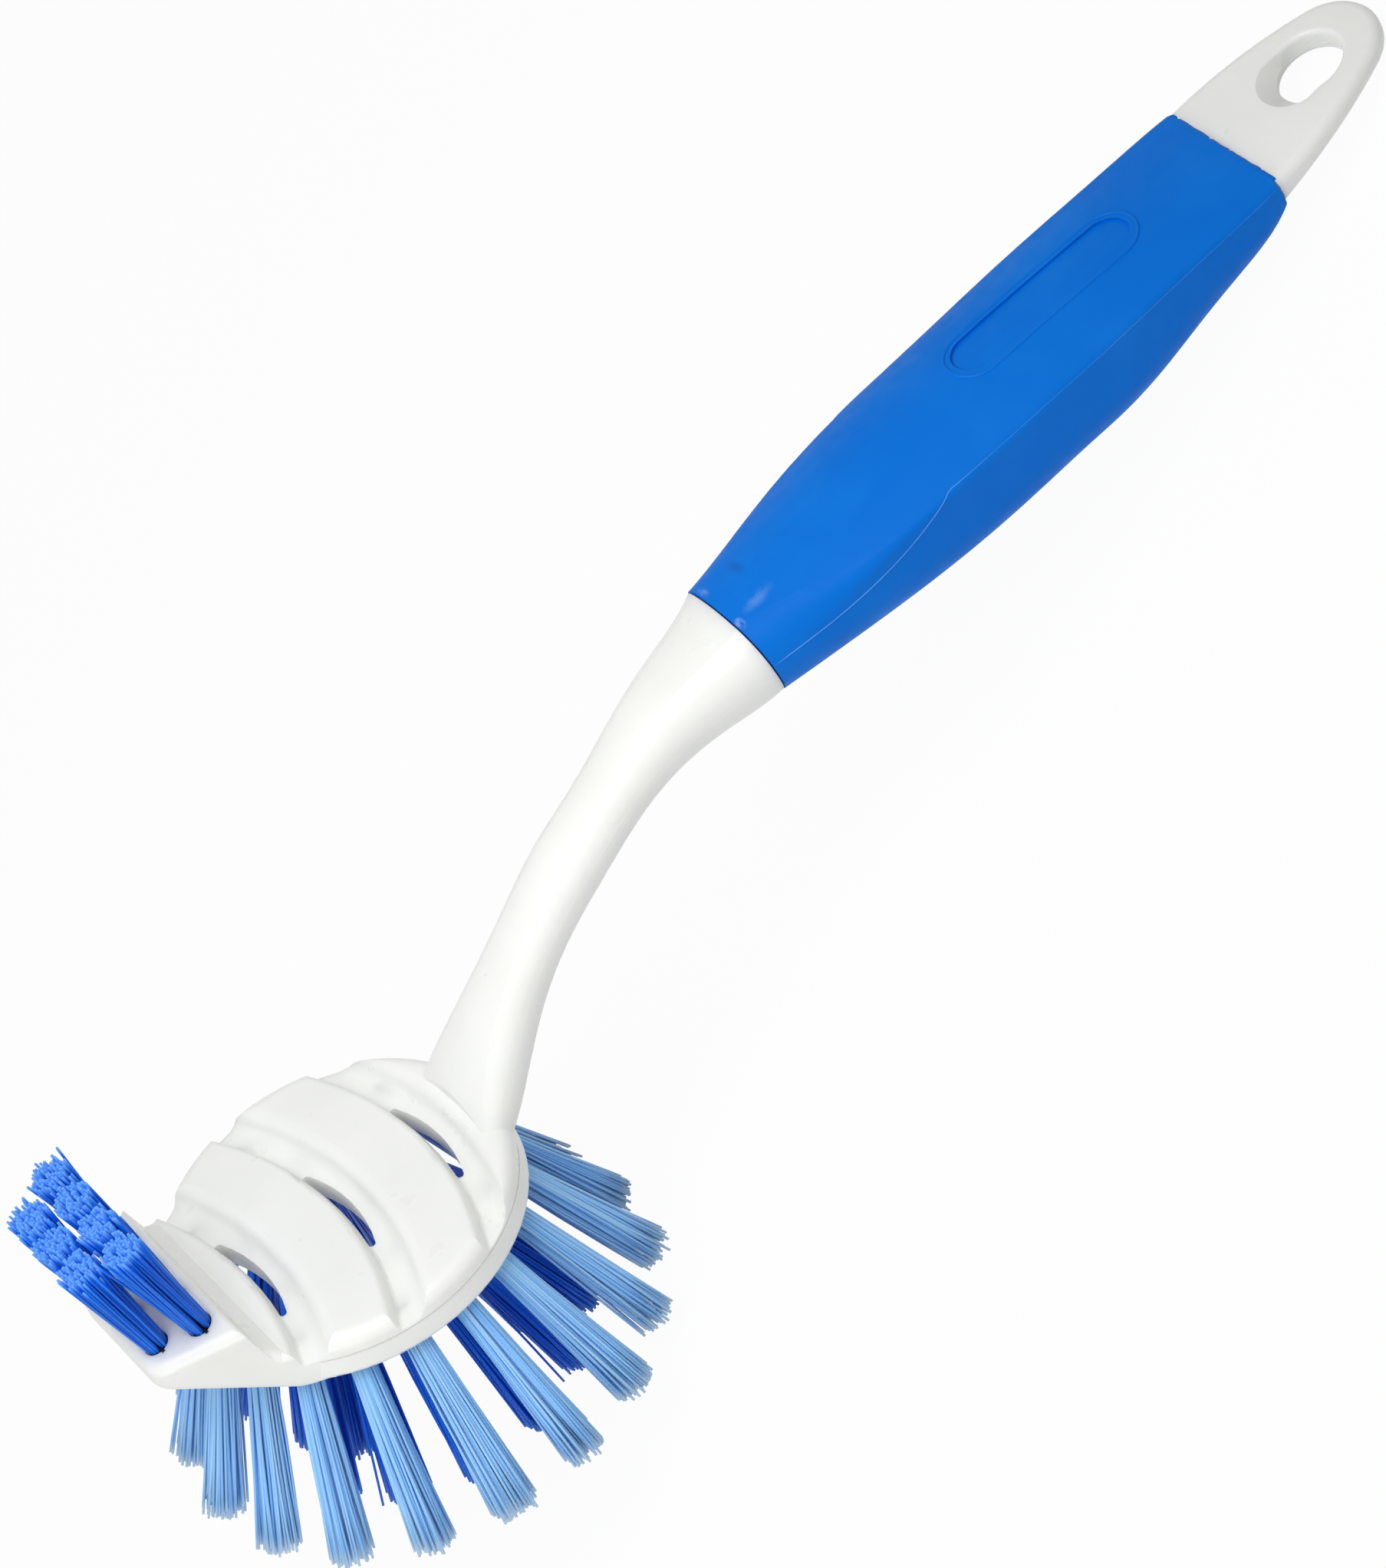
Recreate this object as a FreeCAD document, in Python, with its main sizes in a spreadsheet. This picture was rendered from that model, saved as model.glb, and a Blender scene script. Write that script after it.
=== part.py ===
"""Dish brush: a white moulded body, a soft grip, and anchored bristle tufts.

Head frame, in mm: the origin is the centre of the head's underside, +X runs to the handle,
+Z is up and the bristles hang down.  At the end every piece takes the same placement, which
lays the brush down on its rear bristle tips and its loop end.
"""
import FreeCAD, Part
import math
import os

import Sketcher
from FreeCAD import Placement, Rotation, Vector

SIZES = {
    # head disc
    "head_radius": 30.0,
    "head_height": 7.5,
    "rim_draft": 0.4,
    "rim_round": 2.4,
    "rim_foot": 0.8,
    # stepped panels and drain slots
    "panel_share": 0.58,
    "panel_shift": -0.8,
    "step_radius": 66.0,
    "step_slope": 0.9,
    "valley_depth": 3.0,
    "valley_floor": 2.4,
    "valley_width": 7.8,
    "valley_over": 6.0,
    "step_crest_round": 1.1,
    "step_foot_round": 0.6,
    "slot_half_share": 0.347,
    "slot_width": 2.2,
    "slot_end_width": 1.2,
    # front lip
    "lip_reach": 10.0,
    "lip_crest_inset": 4.0,
    "lip_rise": 8.1,
    "lip_tilt": 10.5,
    "lip_front_half": 11.8,
    "lip_corner": 4.2,
    "lip_touch_inset": 0.8,
    "lip_edge_round": 1.8,
    "lip_apron_round": 1.2,
    "lip_wall_run": 1.4,
    "lip_crease_rise": 2.3,
    "lip_crest_round": 1.0,
    "lip_seat": 0.2,
    "lip_root": 4.0,
    "lip_root_drop": 1.0,
    "lip_apron": 2.4,
    "lip_heel": 2.0,
    "lip_under_tilt": 27.5,
    "lip_under_round": 2.0,
    "waste": 20.0,
    # neck stations: run from rim to seam and rise to the seam as shares, then lean and section
    "neck_a_run": -0.08, "neck_a_rise": 0.091, "neck_a_lean": 22.0, "neck_a_half": 11.2, "neck_a_deep": 3.0,
    "neck_b_run": 0.022, "neck_b_rise": 0.231, "neck_b_lean": 41.0, "neck_b_half": 9.2, "neck_b_deep": 4.4,
    "neck_c_run": 0.114, "neck_c_rise": 0.36, "neck_c_lean": 42.0, "neck_c_half": 7.4, "neck_c_deep": 4.6,
    "neck_d_run": 0.263, "neck_d_rise": 0.541, "neck_d_lean": 38.0, "neck_d_half": 6.1, "neck_d_deep": 4.6,
    "neck_e_run": 0.418, "neck_e_rise": 0.69, "neck_e_lean": 31.5, "neck_e_half": 6.2, "neck_e_deep": 5.0,
    "neck_f_run": 0.584, "neck_f_rise": 0.816, "neck_f_lean": 25.0, "neck_f_half": 6.2, "neck_f_deep": 4.9,
    "neck_g_run": 0.775, "neck_g_rise": 0.928, "neck_g_lean": 17.0, "neck_g_half": 7.8, "neck_g_deep": 6.3,
    "neck_h_run": 0.898, "neck_h_rise": 0.963, "neck_h_lean": 12.0, "neck_h_half": 9.5, "neck_h_deep": 7.2,
    "neck_crown": 16.0,
    # handle axis, from the seam where neck and grip meet
    "seam_x": 98.5,
    "seam_z": 48.4,
    "handle_pitch": 7.65,
    "seam_half": 11.0,
    "seam_deep": 8.0,
    "seam_gap": 0.3,
    # grip stations: share of the length, half width, crease height, belly depth, rounds, crown angle
    "grip_length": 107.5,
    "grip_a_half": 11.5, "grip_a_top": 7.6, "grip_a_belly": 8.3, "grip_a_crown": 16.0,
    "grip_b_half": 13.5, "grip_b_top": 7.0, "grip_b_belly": 8.9, "grip_b_crown": 22.0,
    "grip_c_half": 14.9, "grip_c_top": 6.2, "grip_c_belly": 9.9, "grip_c_crown": 27.0,
    "grip_d_half": 15.5, "grip_d_top": 6.5, "grip_d_belly": 11.0, "grip_d_crown": 29.0,
    "grip_e_half": 15.5, "grip_e_top": 6.5, "grip_e_belly": 11.3, "grip_e_crown": 28.0,
    "grip_f_half": 15.4, "grip_f_top": 6.5, "grip_f_belly": 10.8, "grip_f_crown": 22.0,
    "grip_g_half": 15.0, "grip_g_top": 6.2, "grip_g_belly": 8.0, "grip_g_crown": 15.0,
    "grip_h_half": 14.8, "grip_h_top": 5.95, "grip_h_belly": 4.8, "grip_h_crown": 9.5,
    "grip_i_half": 14.5, "grip_i_top": 5.8, "grip_i_belly": 0.9, "grip_i_crown": 7.0,
    "grip_front_round": 7.4,
    "grip_scoop_round": 5.4,
    "grip_crease_round": 1.6,
    "grip_belly_round": 8.4,
    "grip_heel_round": 6.0,
    "grip_rear_round": 3.0,
    # label recess in the grip's top
    "label_start": 53.0,
    "label_length": 35.5,
    "label_half": 4.2,
    "label_depth": 0.5,
    "label_floor": 6.5,
    "label_block_height": 8.0,
    # core that the grip is moulded round
    "core_half": 8.0,
    "core_deep": 1.8,
    "core_round": 1.2,
    "core_lift": 2.6,
    "core_tuck": 6.0,
    "core_root": 0.4,
    "overmould_gap": 0.05,
    # hanging loop
    "loop_length": 32.2,
    "loop_start_half": 14.2,
    "loop_start_top": 5.6,
    "loop_start_floor": 0.2,
    "loop_tip_top": 7.4,
    "loop_tip_deep": 4.6,
    "loop_under_radius": 200.0,
    "loop_nose_radius": 9.5,
    "loop_nose_turn": 67.5,
    "loop_top_round": 1.5,
    "loop_under_round": 2.4,
    "eye_at": 19.0,
    "eye_radius": 6.0,
    "eye_round": 0.8,
    "eye_lead_floor": 3.2,
    "eye_lead_over": 0.4,
    "eye_lead_back": 0.5,
    "eye_mouth_run": 6.7,
    "eye_mouth_half": 6.3,
    "eye_low_run": 1.2,
    "eye_low_half": 5.6,
    # bristle tufts
    "outer_inset": 4.9,
    "outer_flare": 25.2,
    "middle_share": 0.5,
    "middle_flare": 23.3,
    "middle_start": 28.0,
    "inner_pair_run": 0.257,
    "inner_pair_side": 0.13,
    "inner_single_run": 0.4,
    "inner_flare": 17.6,
    "trim_depth": 31.2,
    "socket_depth": 3.6,
    "socket_clearance": 0.1,
    "socket_bottom": 0.1,
    "socket_over": 3.0,
    "tuft_root_radius": 1.85,
    "tuft_tip_radius": 3.6,
    "lip_tuft_length": 23.0,
    "lip_tuft_tip_radius": 3.4,
    "lip_rear_row": 3.5,
    "lip_front_row": 10.1,
    "lip_tuft_pitch": 7.7,
    # anchors
    "anchor_thickness": 0.5,
    "anchor_height": 1.6,
    "anchor_bite": 0.4,
    "anchor_lift": 0.4,
    "lip_anchor_lift": 2.1,
    "anchor_clearance": 0.03,
}
OUTER_TUFTS = 18
MIDDLE_TUFTS_PER_SIDE = 6
PANEL_STEPS = 3
LIP_REAR_TUFTS = 4
LIP_FRONT_TUFTS = 3
NEAR = 0.01
CREST_BACK = 0.25
CREST_FRONT = 0.9
NECK_TOP_SHARE = 0.88
SEAM_TOP_SHARE = 0.94
TOP_ROUND_SHARE = 0.86
BELLY_ROUND_SHARE = 0.9
SLOT_END_SHARE = 0.56
EYE_END_SHARE = 0.52
EYE_REACH_SHARE = 1.2
UPRIGHT_SHARE = 0.8
AXIS_MARK = 10
SKIN_TOLERANCE = 0.05
GRIP_SHARES = {"b": 0.12, "c": 0.25, "d": 0.42, "e": 0.57, "f": 0.71, "g": 0.86, "h": 0.955}


class Size:
    """A number together with the sheet formula it comes from."""

    def __init__(self, value, text):
        self.value = value
        self.text = text

    def __add__(self, other):
        other = as_size(other)
        return Size(self.value + other.value, f"({self.text} + {other.text})")

    __radd__ = __add__

    def __neg__(self):
        return Size(-self.value, f"(-1 * {self.text})")

    def __sub__(self, other):
        other = as_size(other)
        return Size(self.value - other.value, f"({self.text} - {other.text})")

    def __rsub__(self, other):
        return as_size(other) - self

    def __mul__(self, other):
        other = as_size(other)
        return Size(self.value * other.value, f"({self.text} * {other.text})")

    __rmul__ = __mul__

    def __truediv__(self, other):
        other = as_size(other)
        return Size(self.value / other.value, f"({self.text} / {other.text})")


def as_size(number):
    """Wraps a plain number as a Size."""
    if isinstance(number, Size):
        return number
    return Size(float(number), f"({float(number)})")


def sine(angle):
    """Sine of an angle Size in degrees."""
    return Size(math.sin(math.radians(angle.value)), f"sin({angle.text})")


def cosine(angle):
    """Cosine of an angle Size in degrees."""
    return Size(math.cos(math.radians(angle.value)), f"cos({angle.text})")


def tangent(angle):
    """Tangent of an angle Size in degrees."""
    return Size(math.tan(math.radians(angle.value)), f"tan({angle.text})")


def root(size):
    """Square root of a Size."""
    return Size(math.sqrt(size.value), f"sqrt({size.text})")


doc = FreeCAD.newDocument("dish_brush")
sheet = doc.addObject("Spreadsheet::Sheet", "dims")
for row, (alias, number) in enumerate(SIZES.items(), start=1):
    sheet.set(f"A{row}", alias)
    sheet.set(f"B{row}", str(number))
    sheet.setAlias(f"B{row}", alias)
doc.recompute()


def dim(alias):
    """One driving size, as the sheet holds it."""
    return Size(float(sheet.get(alias)), f"dims.{alias}")


def bind(target, path, size):
    """Ties a property to its sheet formula."""
    target.setExpression(path, as_size(size).text)


def origin_plane(body, role):
    """The body's own origin plane or axis with this role."""
    return next(item for item in body.Origin.OriginFeatures if item.Role == role)


def new_sketch(body, name, role, base=None, turn=None):
    """A sketch on one of the body's planes, moved and turned by sheet formulas.

    base is three Sizes in the plane's own axes; turn is (axis, angle Size) in the same axes.
    """
    sketch = body.newObject("Sketcher::SketchObject", name)
    sketch.AttachmentSupport = [(origin_plane(body, role), "")]
    sketch.MapMode = "FlatFace"
    axis, angle = turn or (Vector(0, 0, 1), as_size(0))
    shift = [as_size(item) for item in (base or (0, 0, 0))]
    start = Vector(*(item.value for item in shift))
    sketch.AttachmentOffset = Placement(start, Rotation(axis, angle.value))
    if base:
        for letter, item in zip("xyz", shift):
            bind(sketch, f"AttachmentOffset.Base.{letter}", item)
    if turn:
        bind(sketch, "AttachmentOffset.Rotation.Angle", angle)
    return sketch


def arc_between(start, end, radius, side):
    """The minor arc from start to end; side +1 puts its centre left of the way, -1 right.

    Returns the arc and whether the drawn direction is reversed.
    """
    chord = end - start
    left = Vector(-chord.y, chord.x, 0).normalize()
    rise = math.sqrt(max(radius ** 2 - (chord.Length / 2) ** 2, 0.0))
    centre = start + chord * 0.5 + left * (rise * side)
    first, last = (start, end) if side > 0 else (end, start)
    angles = [math.atan2(point.y - centre.y, point.x - centre.x) for point in (first, last)]
    circle = Part.Circle(centre, Vector(0, 0, 1), radius)
    return Part.ArcOfCircle(circle, *angles), side < 0


def pin(sketch, kind, edge, end, size, name):
    """Holds one coordinate of an edge's end at a sheet formula."""
    size = as_size(size)
    index = sketch.addConstraint(Sketcher.Constraint(kind, -1, 1, edge, end, size.value))
    sketch.renameConstraint(index, name)
    bind(sketch, f"Constraints.{name}", size)


def draw(sketch, corners, arcs=None, tag="p"):
    """Draws a closed outline through corners; arcs maps an edge number to (radius, side)."""
    arcs = arcs or {}
    count = len(corners)
    points = [Vector(as_size(x).value, as_size(y).value, 0) for x, y in corners]
    edges = []
    for index, start in enumerate(points):
        end = points[(index + 1) % count]
        curve, flipped = Part.LineSegment(start, end), False
        if index in arcs:
            radius, side = arcs[index]
            curve, flipped = arc_between(start, end, radius.value, side)
        number = sketch.addGeometry(curve, False)
        edges.append((number, 2, 1) if flipped else (number, 1, 2))
    for index, (number, _, last) in enumerate(edges):
        following, first, _ = edges[(index + 1) % count]
        sketch.addConstraint(Sketcher.Constraint("Coincident", number, last, following, first))
    for index, (x, y) in enumerate(corners):
        number, first, _ = edges[index]
        pin(sketch, "DistanceX", number, first, x, f"{tag}x{index}")
        pin(sketch, "DistanceY", number, first, y, f"{tag}y{index}")
    for index, (radius, _) in arcs.items():
        place = sketch.addConstraint(Sketcher.Constraint("Radius", edges[index][0], radius.value))
        sketch.renameConstraint(place, f"{tag}r{index}")
        bind(sketch, f"Constraints.{tag}r{index}", radius)


def draw_circle(sketch, x, radius):
    """Draws a circle whose centre lies on the first axis."""
    number = sketch.addGeometry(Part.Circle(Vector(x.value, 0, 0), Vector(0, 0, 1), radius.value), False)
    pin(sketch, "DistanceX", number, 3, x, "centre_x")
    sketch.addConstraint(Sketcher.Constraint("PointOnObject", number, 3, -1))
    place = sketch.addConstraint(Sketcher.Constraint("Radius", number, radius.value))
    sketch.renameConstraint(place, "radius")
    bind(sketch, "Constraints.radius", radius)


def mirrored(half, arcs):
    """Closes a half outline, given from its first to its last corner, about the second axis."""
    full = half + [(-x, y) for x, y in reversed(half)]
    last = 2 * len(half) - 2
    both = dict(arcs)
    both.update({last - index: arc for index, arc in arcs.items()})
    return full, both


def draw_section(sketch, half, top, belly, top_round, belly_round, crown):
    """A handle section: crowned top, rounded creases, upright sides and a rounded belly."""
    crest_half = half - top_round * (1 - sine(crown))
    right = [
        (crest_half, top),
        (half, top - top_round * cosine(crown)),
        (half, belly_round - belly),
        (half - belly_round, -belly),
    ]
    corners, arcs = mirrored(right, {0: (top_round, -1), 2: (belly_round, -1)})
    arcs[len(corners) - 1] = (crest_half / sine(crown), -1)
    draw(sketch, corners, arcs)


def handle_section(body, name, along, lean, foot_x, foot_z):
    """A sketch square to the handle axis, at a distance along it from a foot point."""
    base = (as_size(0), foot_z + along * sine(lean), foot_x + along * cosine(lean))
    return new_sketch(body, name, "YZ_Plane", base, (Vector(1, 0, 0), -lean))


def side_sketch(body, name):
    """A sketch in the mirror plane whose axes run along and across the handle, from the seam."""
    base = (dim("seam_x"), dim("seam_z"), as_size(0))
    return new_sketch(body, name, "XZ_Plane", base, (Vector(0, 0, 1), dim("handle_pitch")))


def plan_sketch(body, name, lift=0):
    """A sketch square to the mirror plane, along the handle axis, lifted off it."""
    pitch = dim("handle_pitch")
    lift = as_size(lift)
    base = (dim("seam_x") - lift * sine(pitch), as_size(0), dim("seam_z") + lift * cosine(pitch))
    return new_sketch(body, name, "XY_Plane", base, (Vector(0, 1, 0), -pitch))


def feature(body, kind, name, sketch, **values):
    """Adds a sketch-based feature and sets its plain properties."""
    item = body.newObject(f"PartDesign::{kind}", name)
    item.Profile = sketch
    for key, value in values.items():
        setattr(item, key, value)
    return item


def through_cut(body, name, sketch):
    """A pocket that removes all that the sketch covers, on both sides of its plane."""
    return feature(body, "Pocket", name, sketch, Type="ThroughAll", Midplane=True)


# Front lip: a block whose sides touch the head's round edge, cut to its sloping face and rounded there
moulding = doc.addObject("PartDesign::Body", "moulding")
front_x = -(dim("head_radius") + dim("lip_reach"))
front_half = dim("lip_front_half")
crest_x = -(dim("head_radius") - dim("lip_crest_inset"))
crest_z = dim("head_height") + dim("lip_rise")
crest_round = dim("lip_crest_round")
crease_x = crest_x + dim("lip_wall_run")
panel_pitch = dim("panel_share") * dim("head_radius")
step_x = dim("panel_shift") - panel_pitch
lip_slope = tangent(dim("lip_tilt"))
lip_root_x = step_x + dim("lip_root")
lip_heel_x = crest_x + dim("lip_heel")
waste_front = front_x - dim("waste")
waste_back = lip_root_x + dim("waste")


def face_z(x):
    """Height of the lip's sloping face."""
    return crest_z + (x - crest_x) * lip_slope


def under_z(x):
    """Height of the lip's slanting underside, which meets the head at the heel."""
    return dim("lip_seat") + (lip_heel_x - x) * tangent(dim("lip_under_tilt"))


touch_radius = dim("head_radius") - dim("lip_touch_inset")
reach_squared = front_x * front_x + front_half * front_half
side_length = root(reach_squared - touch_radius * touch_radius)
near_share = touch_radius * touch_radius / reach_squared
side_share = touch_radius * side_length / reach_squared
touch_x = front_x * near_share + front_half * side_share
touch_y = front_half * near_share - front_x * side_share
side_way = ((touch_x - front_x) / side_length, (touch_y - front_half) / side_length)
corner_run = dim("lip_corner") * side_way[0] / (1 + side_way[1])
lip_plan = new_sketch(moulding, "lip_plan", "XY_Plane")
lip_half = [
    (lip_root_x, touch_y + (lip_root_x - touch_x) * side_way[1] / side_way[0]),
    (front_x + corner_run * side_way[0], front_half + corner_run * side_way[1]),
    (front_x, front_half - corner_run),
]
draw(
    lip_plan,
    lip_half + [(x, -y) for x, y in reversed(lip_half)],
    {1: (dim("lip_corner"), 1), 3: (dim("lip_corner"), 1)},
)
lip_pad = feature(moulding, "Pad", "lip_block", lip_plan, Midplane=True)
bind(lip_pad, "Length", 2 * (crest_z + dim("waste")))

lip_face = new_sketch(moulding, "lip_face", "XZ_Plane")
draw(
    lip_face,
    [
        (waste_front, face_z(waste_front)),
        (waste_back, face_z(waste_back)),
        (waste_back, crest_z + 2 * dim("waste")),
        (waste_front, crest_z + 2 * dim("waste")),
    ],
)
through_cut(moulding, "lip_face_cut", lip_face)
doc.recompute()


def soften(name, radius, wanted):
    """Rounds the edges of the body so far that pass a test."""
    previous = moulding.Tip
    edges = enumerate(previous.Shape.Edges, start=1)
    soft = moulding.newObject("PartDesign::Fillet", name)
    soft.Base = (previous, [f"Edge{number}" for number, edge in edges if wanted(edge)])
    bind(soft, "Radius", dim(radius))
    moulding.Tip = soft
    doc.recompute()


def ends(edge):
    """End points of an edge."""
    return [vertex.Point for vertex in edge.Vertexes]


def on_face(edge):
    """Whether an edge bounds the lip's face at its front or sides."""
    points = ends(edge)
    level = all(abs(point.z - face_z(as_size(point.x)).value) < NEAR for point in points)
    return level and any(point.x < lip_root_x.value - NEAR for point in points)


soften("lip_face_edge", "lip_edge_round", on_face)

lip_under = new_sketch(moulding, "lip_under", "XZ_Plane")
draw(
    lip_under,
    [
        (waste_front, under_z(waste_front)),
        (waste_front, -crest_z - 2 * dim("waste")),
        (waste_back, -crest_z - 2 * dim("waste")),
        (waste_back, under_z(waste_back)),
    ],
)
through_cut(moulding, "lip_under_cut", lip_under)
doc.recompute()


def on_under(edge):
    """Whether an edge bounds the lip's underside at its front or sides."""
    points = ends(edge)
    level = all(abs(point.z - under_z(as_size(point.x)).value) < NEAR for point in points)
    return level and any(point.x < lip_root_x.value - NEAR for point in points)


soften("lip_under_edge", "lip_under_round", on_under)

lip_foot = new_sketch(moulding, "lip_foot", "XZ_Plane")
draw(
    lip_foot,
    [
        (waste_front, dim("lip_seat")),
        (waste_front, -crest_z - dim("waste")),
        (waste_back, -crest_z - dim("waste")),
        (waste_back, dim("lip_seat")),
    ],
)
through_cut(moulding, "lip_foot_cut", lip_foot)

lip_back = new_sketch(moulding, "lip_back", "XZ_Plane")
draw(
    lip_back,
    [
        (waste_back, dim("head_height") - dim("lip_root_drop")),
        (lip_root_x, dim("head_height") - dim("lip_root_drop")),
        (crease_x + dim("lip_apron"), dim("head_height") + dim("lip_seat")),
        (crease_x, dim("head_height") + dim("lip_crease_rise")),
        (crest_x + CREST_BACK * crest_round, crest_z - crest_round),
        (crest_x - CREST_FRONT * crest_round, crest_z - CREST_FRONT * crest_round * lip_slope),
        (crest_x - CREST_FRONT * crest_round, crest_z + dim("waste")),
        (waste_back, crest_z + dim("waste")),
    ],
    {4: (crest_round, 1)},
)
through_cut(moulding, "lip_back_cut", lip_back)
doc.recompute()


def on_apron(edge):
    """Whether an edge runs along a side of the slope behind the lip's crest."""
    points = ends(edge)
    low = dim("head_height").value - dim("lip_root_drop").value
    behind = all(point.x > crease_x.value - NEAR and point.z > low - NEAR for point in points)
    return behind and points[0].y * points[-1].y > 0


soften("lip_apron_edge", "lip_apron_round", on_apron)

# Head disc
disc_sketch = new_sketch(moulding, "head_section", "XZ_Plane")
top_radius = dim("head_radius") - dim("rim_draft")
draw(
    disc_sketch,
    [
        (as_size(0), as_size(0)),
        (dim("head_radius") - dim("rim_foot"), as_size(0)),
        (dim("head_radius"), dim("rim_foot")),
        (top_radius, dim("head_height") - dim("rim_round")),
        (top_radius - dim("rim_round"), dim("head_height")),
        (as_size(0), dim("head_height")),
    ],
    {1: (dim("rim_foot"), 1), 3: (dim("rim_round"), 1)},
)
disc = feature(moulding, "Revolution", "head_disc", disc_sketch)
disc.ReferenceAxis = (disc_sketch, ["V_Axis"])
disc.Angle = 360

# Neck
neck_sections = []
neck_run = dim("seam_x") - dim("head_radius")
for letter in "abcdefgh":
    deep = dim(f"neck_{letter}_deep")
    station = handle_section(
        moulding, f"neck_{letter}", as_size(0), dim(f"neck_{letter}_lean"),
        dim("head_radius") + dim(f"neck_{letter}_run") * neck_run,
        dim(f"neck_{letter}_rise") * dim("seam_z"),
    )
    draw_section(
        station, dim(f"neck_{letter}_half"), NECK_TOP_SHARE * deep, deep,
        TOP_ROUND_SHARE * deep, BELLY_ROUND_SHARE * deep, dim("neck_crown"),
    )
    neck_sections.append(station)
seam = handle_section(
    moulding, "neck_seam", as_size(0), dim("handle_pitch"), dim("seam_x"), dim("seam_z")
)
draw_section(
    seam, dim("seam_half"), SEAM_TOP_SHARE * dim("seam_deep"), dim("seam_deep"),
    TOP_ROUND_SHARE * dim("seam_deep"), BELLY_ROUND_SHARE * dim("seam_deep"), dim("neck_crown"),
)
neck_sections.append(seam)
neck = feature(moulding, "AdditiveLoft", "neck", neck_sections[0])
neck.Sections = neck_sections[1:]

# Handle core
loop_start = dim("grip_length") + 2 * dim("seam_gap")


def draw_core(sketch, gap):
    """The core's rounded bar section, grown by gap."""
    half = dim("core_half") + gap
    top = dim("core_deep") + dim("core_lift") + gap
    belly = dim("core_deep") - dim("core_lift") + gap
    edge = dim("core_round") + gap
    right = [
        (half - edge, top),
        (half, top - edge),
        (half, edge - belly),
        (half - edge, -belly),
    ]
    corners, arcs = mirrored(right, {0: (edge, -1), 2: (edge, -1)})
    draw(sketch, corners, arcs)


core_sketch = handle_section(
    moulding, "core_section", -dim("core_tuck"), dim("handle_pitch"), dim("seam_x"), dim("seam_z")
)
draw_core(core_sketch, as_size(0))
core = feature(moulding, "Pad", "core", core_sketch)
bind(core, "Length", loop_start + dim("core_tuck") + dim("core_root"))

# Hanging loop
loop_tip = loop_start + dim("loop_length")
loop_side = side_sketch(moulding, "loop_side")
draw(
    loop_side,
    [
        (loop_start, dim("loop_start_floor")),
        (loop_tip + 1, dim("loop_tip_top") - dim("loop_tip_deep")),
        (loop_tip + 1, dim("loop_tip_top")),
        (loop_start, dim("loop_start_top")),
    ],
    {0: (dim("loop_under_radius"), -1)},
)
loop_pad = feature(moulding, "Pad", "loop_block", loop_side, Midplane=True)
bind(loop_pad, "Length", 2 * dim("loop_start_half"))

nose_radius = dim("loop_nose_radius")
nose_way = (cosine(dim("loop_nose_turn")), sine(dim("loop_nose_turn")))
nose_x = loop_tip - nose_radius * (1 - nose_way[0])
nose_half = nose_radius * nose_way[1]
flank = (loop_start - nose_x, dim("loop_start_half") - nose_half)
flank_radius = -(flank[0] * flank[0] + flank[1] * flank[1]) / (
    2 * (flank[0] * nose_way[0] + flank[1] * nose_way[1])
)
loop_plan = plan_sketch(moulding, "loop_plan")
waste_half = 2 * dim("loop_start_half")
draw(
    loop_plan,
    [
        (loop_start, -waste_half),
        (loop_tip + dim("waste"), -waste_half),
        (loop_tip + dim("waste"), waste_half),
        (loop_start, waste_half),
        (loop_start, dim("loop_start_half")),
        (nose_x, nose_half),
        (loop_tip, as_size(0)),
        (nose_x, -nose_half),
        (loop_start, -dim("loop_start_half")),
    ],
    {
        4: (flank_radius, -1),
        5: (nose_radius, -1),
        6: (nose_radius, -1),
        7: (flank_radius, -1),
    },
)
through_cut(moulding, "loop_outline", loop_plan)

eye_sketch = plan_sketch(moulding, "eye_outline")
eye_x = loop_start + dim("eye_at")
draw_circle(eye_sketch, eye_x, dim("eye_radius"))
through_cut(moulding, "eye", eye_sketch)

# Stepped panels: a groove round a far upright axis behind each step, and a drain slot in its floor
valley_sketch = new_sketch(moulding, "valley_section", "XZ_Plane")
top_z = dim("head_height")
floor_z = top_z - dim("valley_depth")
foot_x = step_x + dim("step_slope")
axis_x = step_x - dim("step_radius")
rise_x = foot_x + dim("valley_floor")
rise_run = step_x + dim("valley_width") - rise_x
rise_radius = (rise_run * rise_run + dim("valley_depth") * dim("valley_depth")) / (4 * dim("valley_depth"))
wall_length = root(dim("step_slope") * dim("step_slope") + dim("valley_depth") * dim("valley_depth"))
wall_way = (dim("step_slope") / wall_length, dim("valley_depth") / wall_length)
crest_run = dim("step_crest_round") * wall_way[1] / (1 + wall_way[0])
foot_run = dim("step_foot_round") * wall_way[1] / (1 + wall_way[0])
draw(
    valley_sketch,
    [
        (step_x - crest_run, top_z + dim("valley_over")),
        (step_x - crest_run, top_z),
        (step_x + crest_run * wall_way[0], top_z - crest_run * wall_way[1]),
        (foot_x - foot_run * wall_way[0], floor_z + foot_run * wall_way[1]),
        (foot_x + foot_run, floor_z),
        (rise_x, floor_z),
        (rise_x + rise_run / 2, floor_z + dim("valley_depth") / 2),
        (rise_x + rise_run, top_z),
        (rise_x + rise_run, top_z + dim("valley_over")),
    ],
    {
        1: (dim("step_crest_round"), -1),
        3: (dim("step_foot_round"), 1),
        5: (rise_radius, 1),
        6: (rise_radius, -1),
    },
)
axis_line = valley_sketch.addGeometry(
    Part.LineSegment(Vector(axis_x.value, 0, 0), Vector(axis_x.value, AXIS_MARK, 0)), True
)
for end, height in ((1, 0), (2, AXIS_MARK)):
    pin(valley_sketch, "DistanceX", axis_line, end, axis_x, f"axis_x{end}")
    pin(valley_sketch, "DistanceY", axis_line, end, height, f"axis_y{end}")
valley = feature(moulding, "Groove", "valley", valley_sketch)
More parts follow.
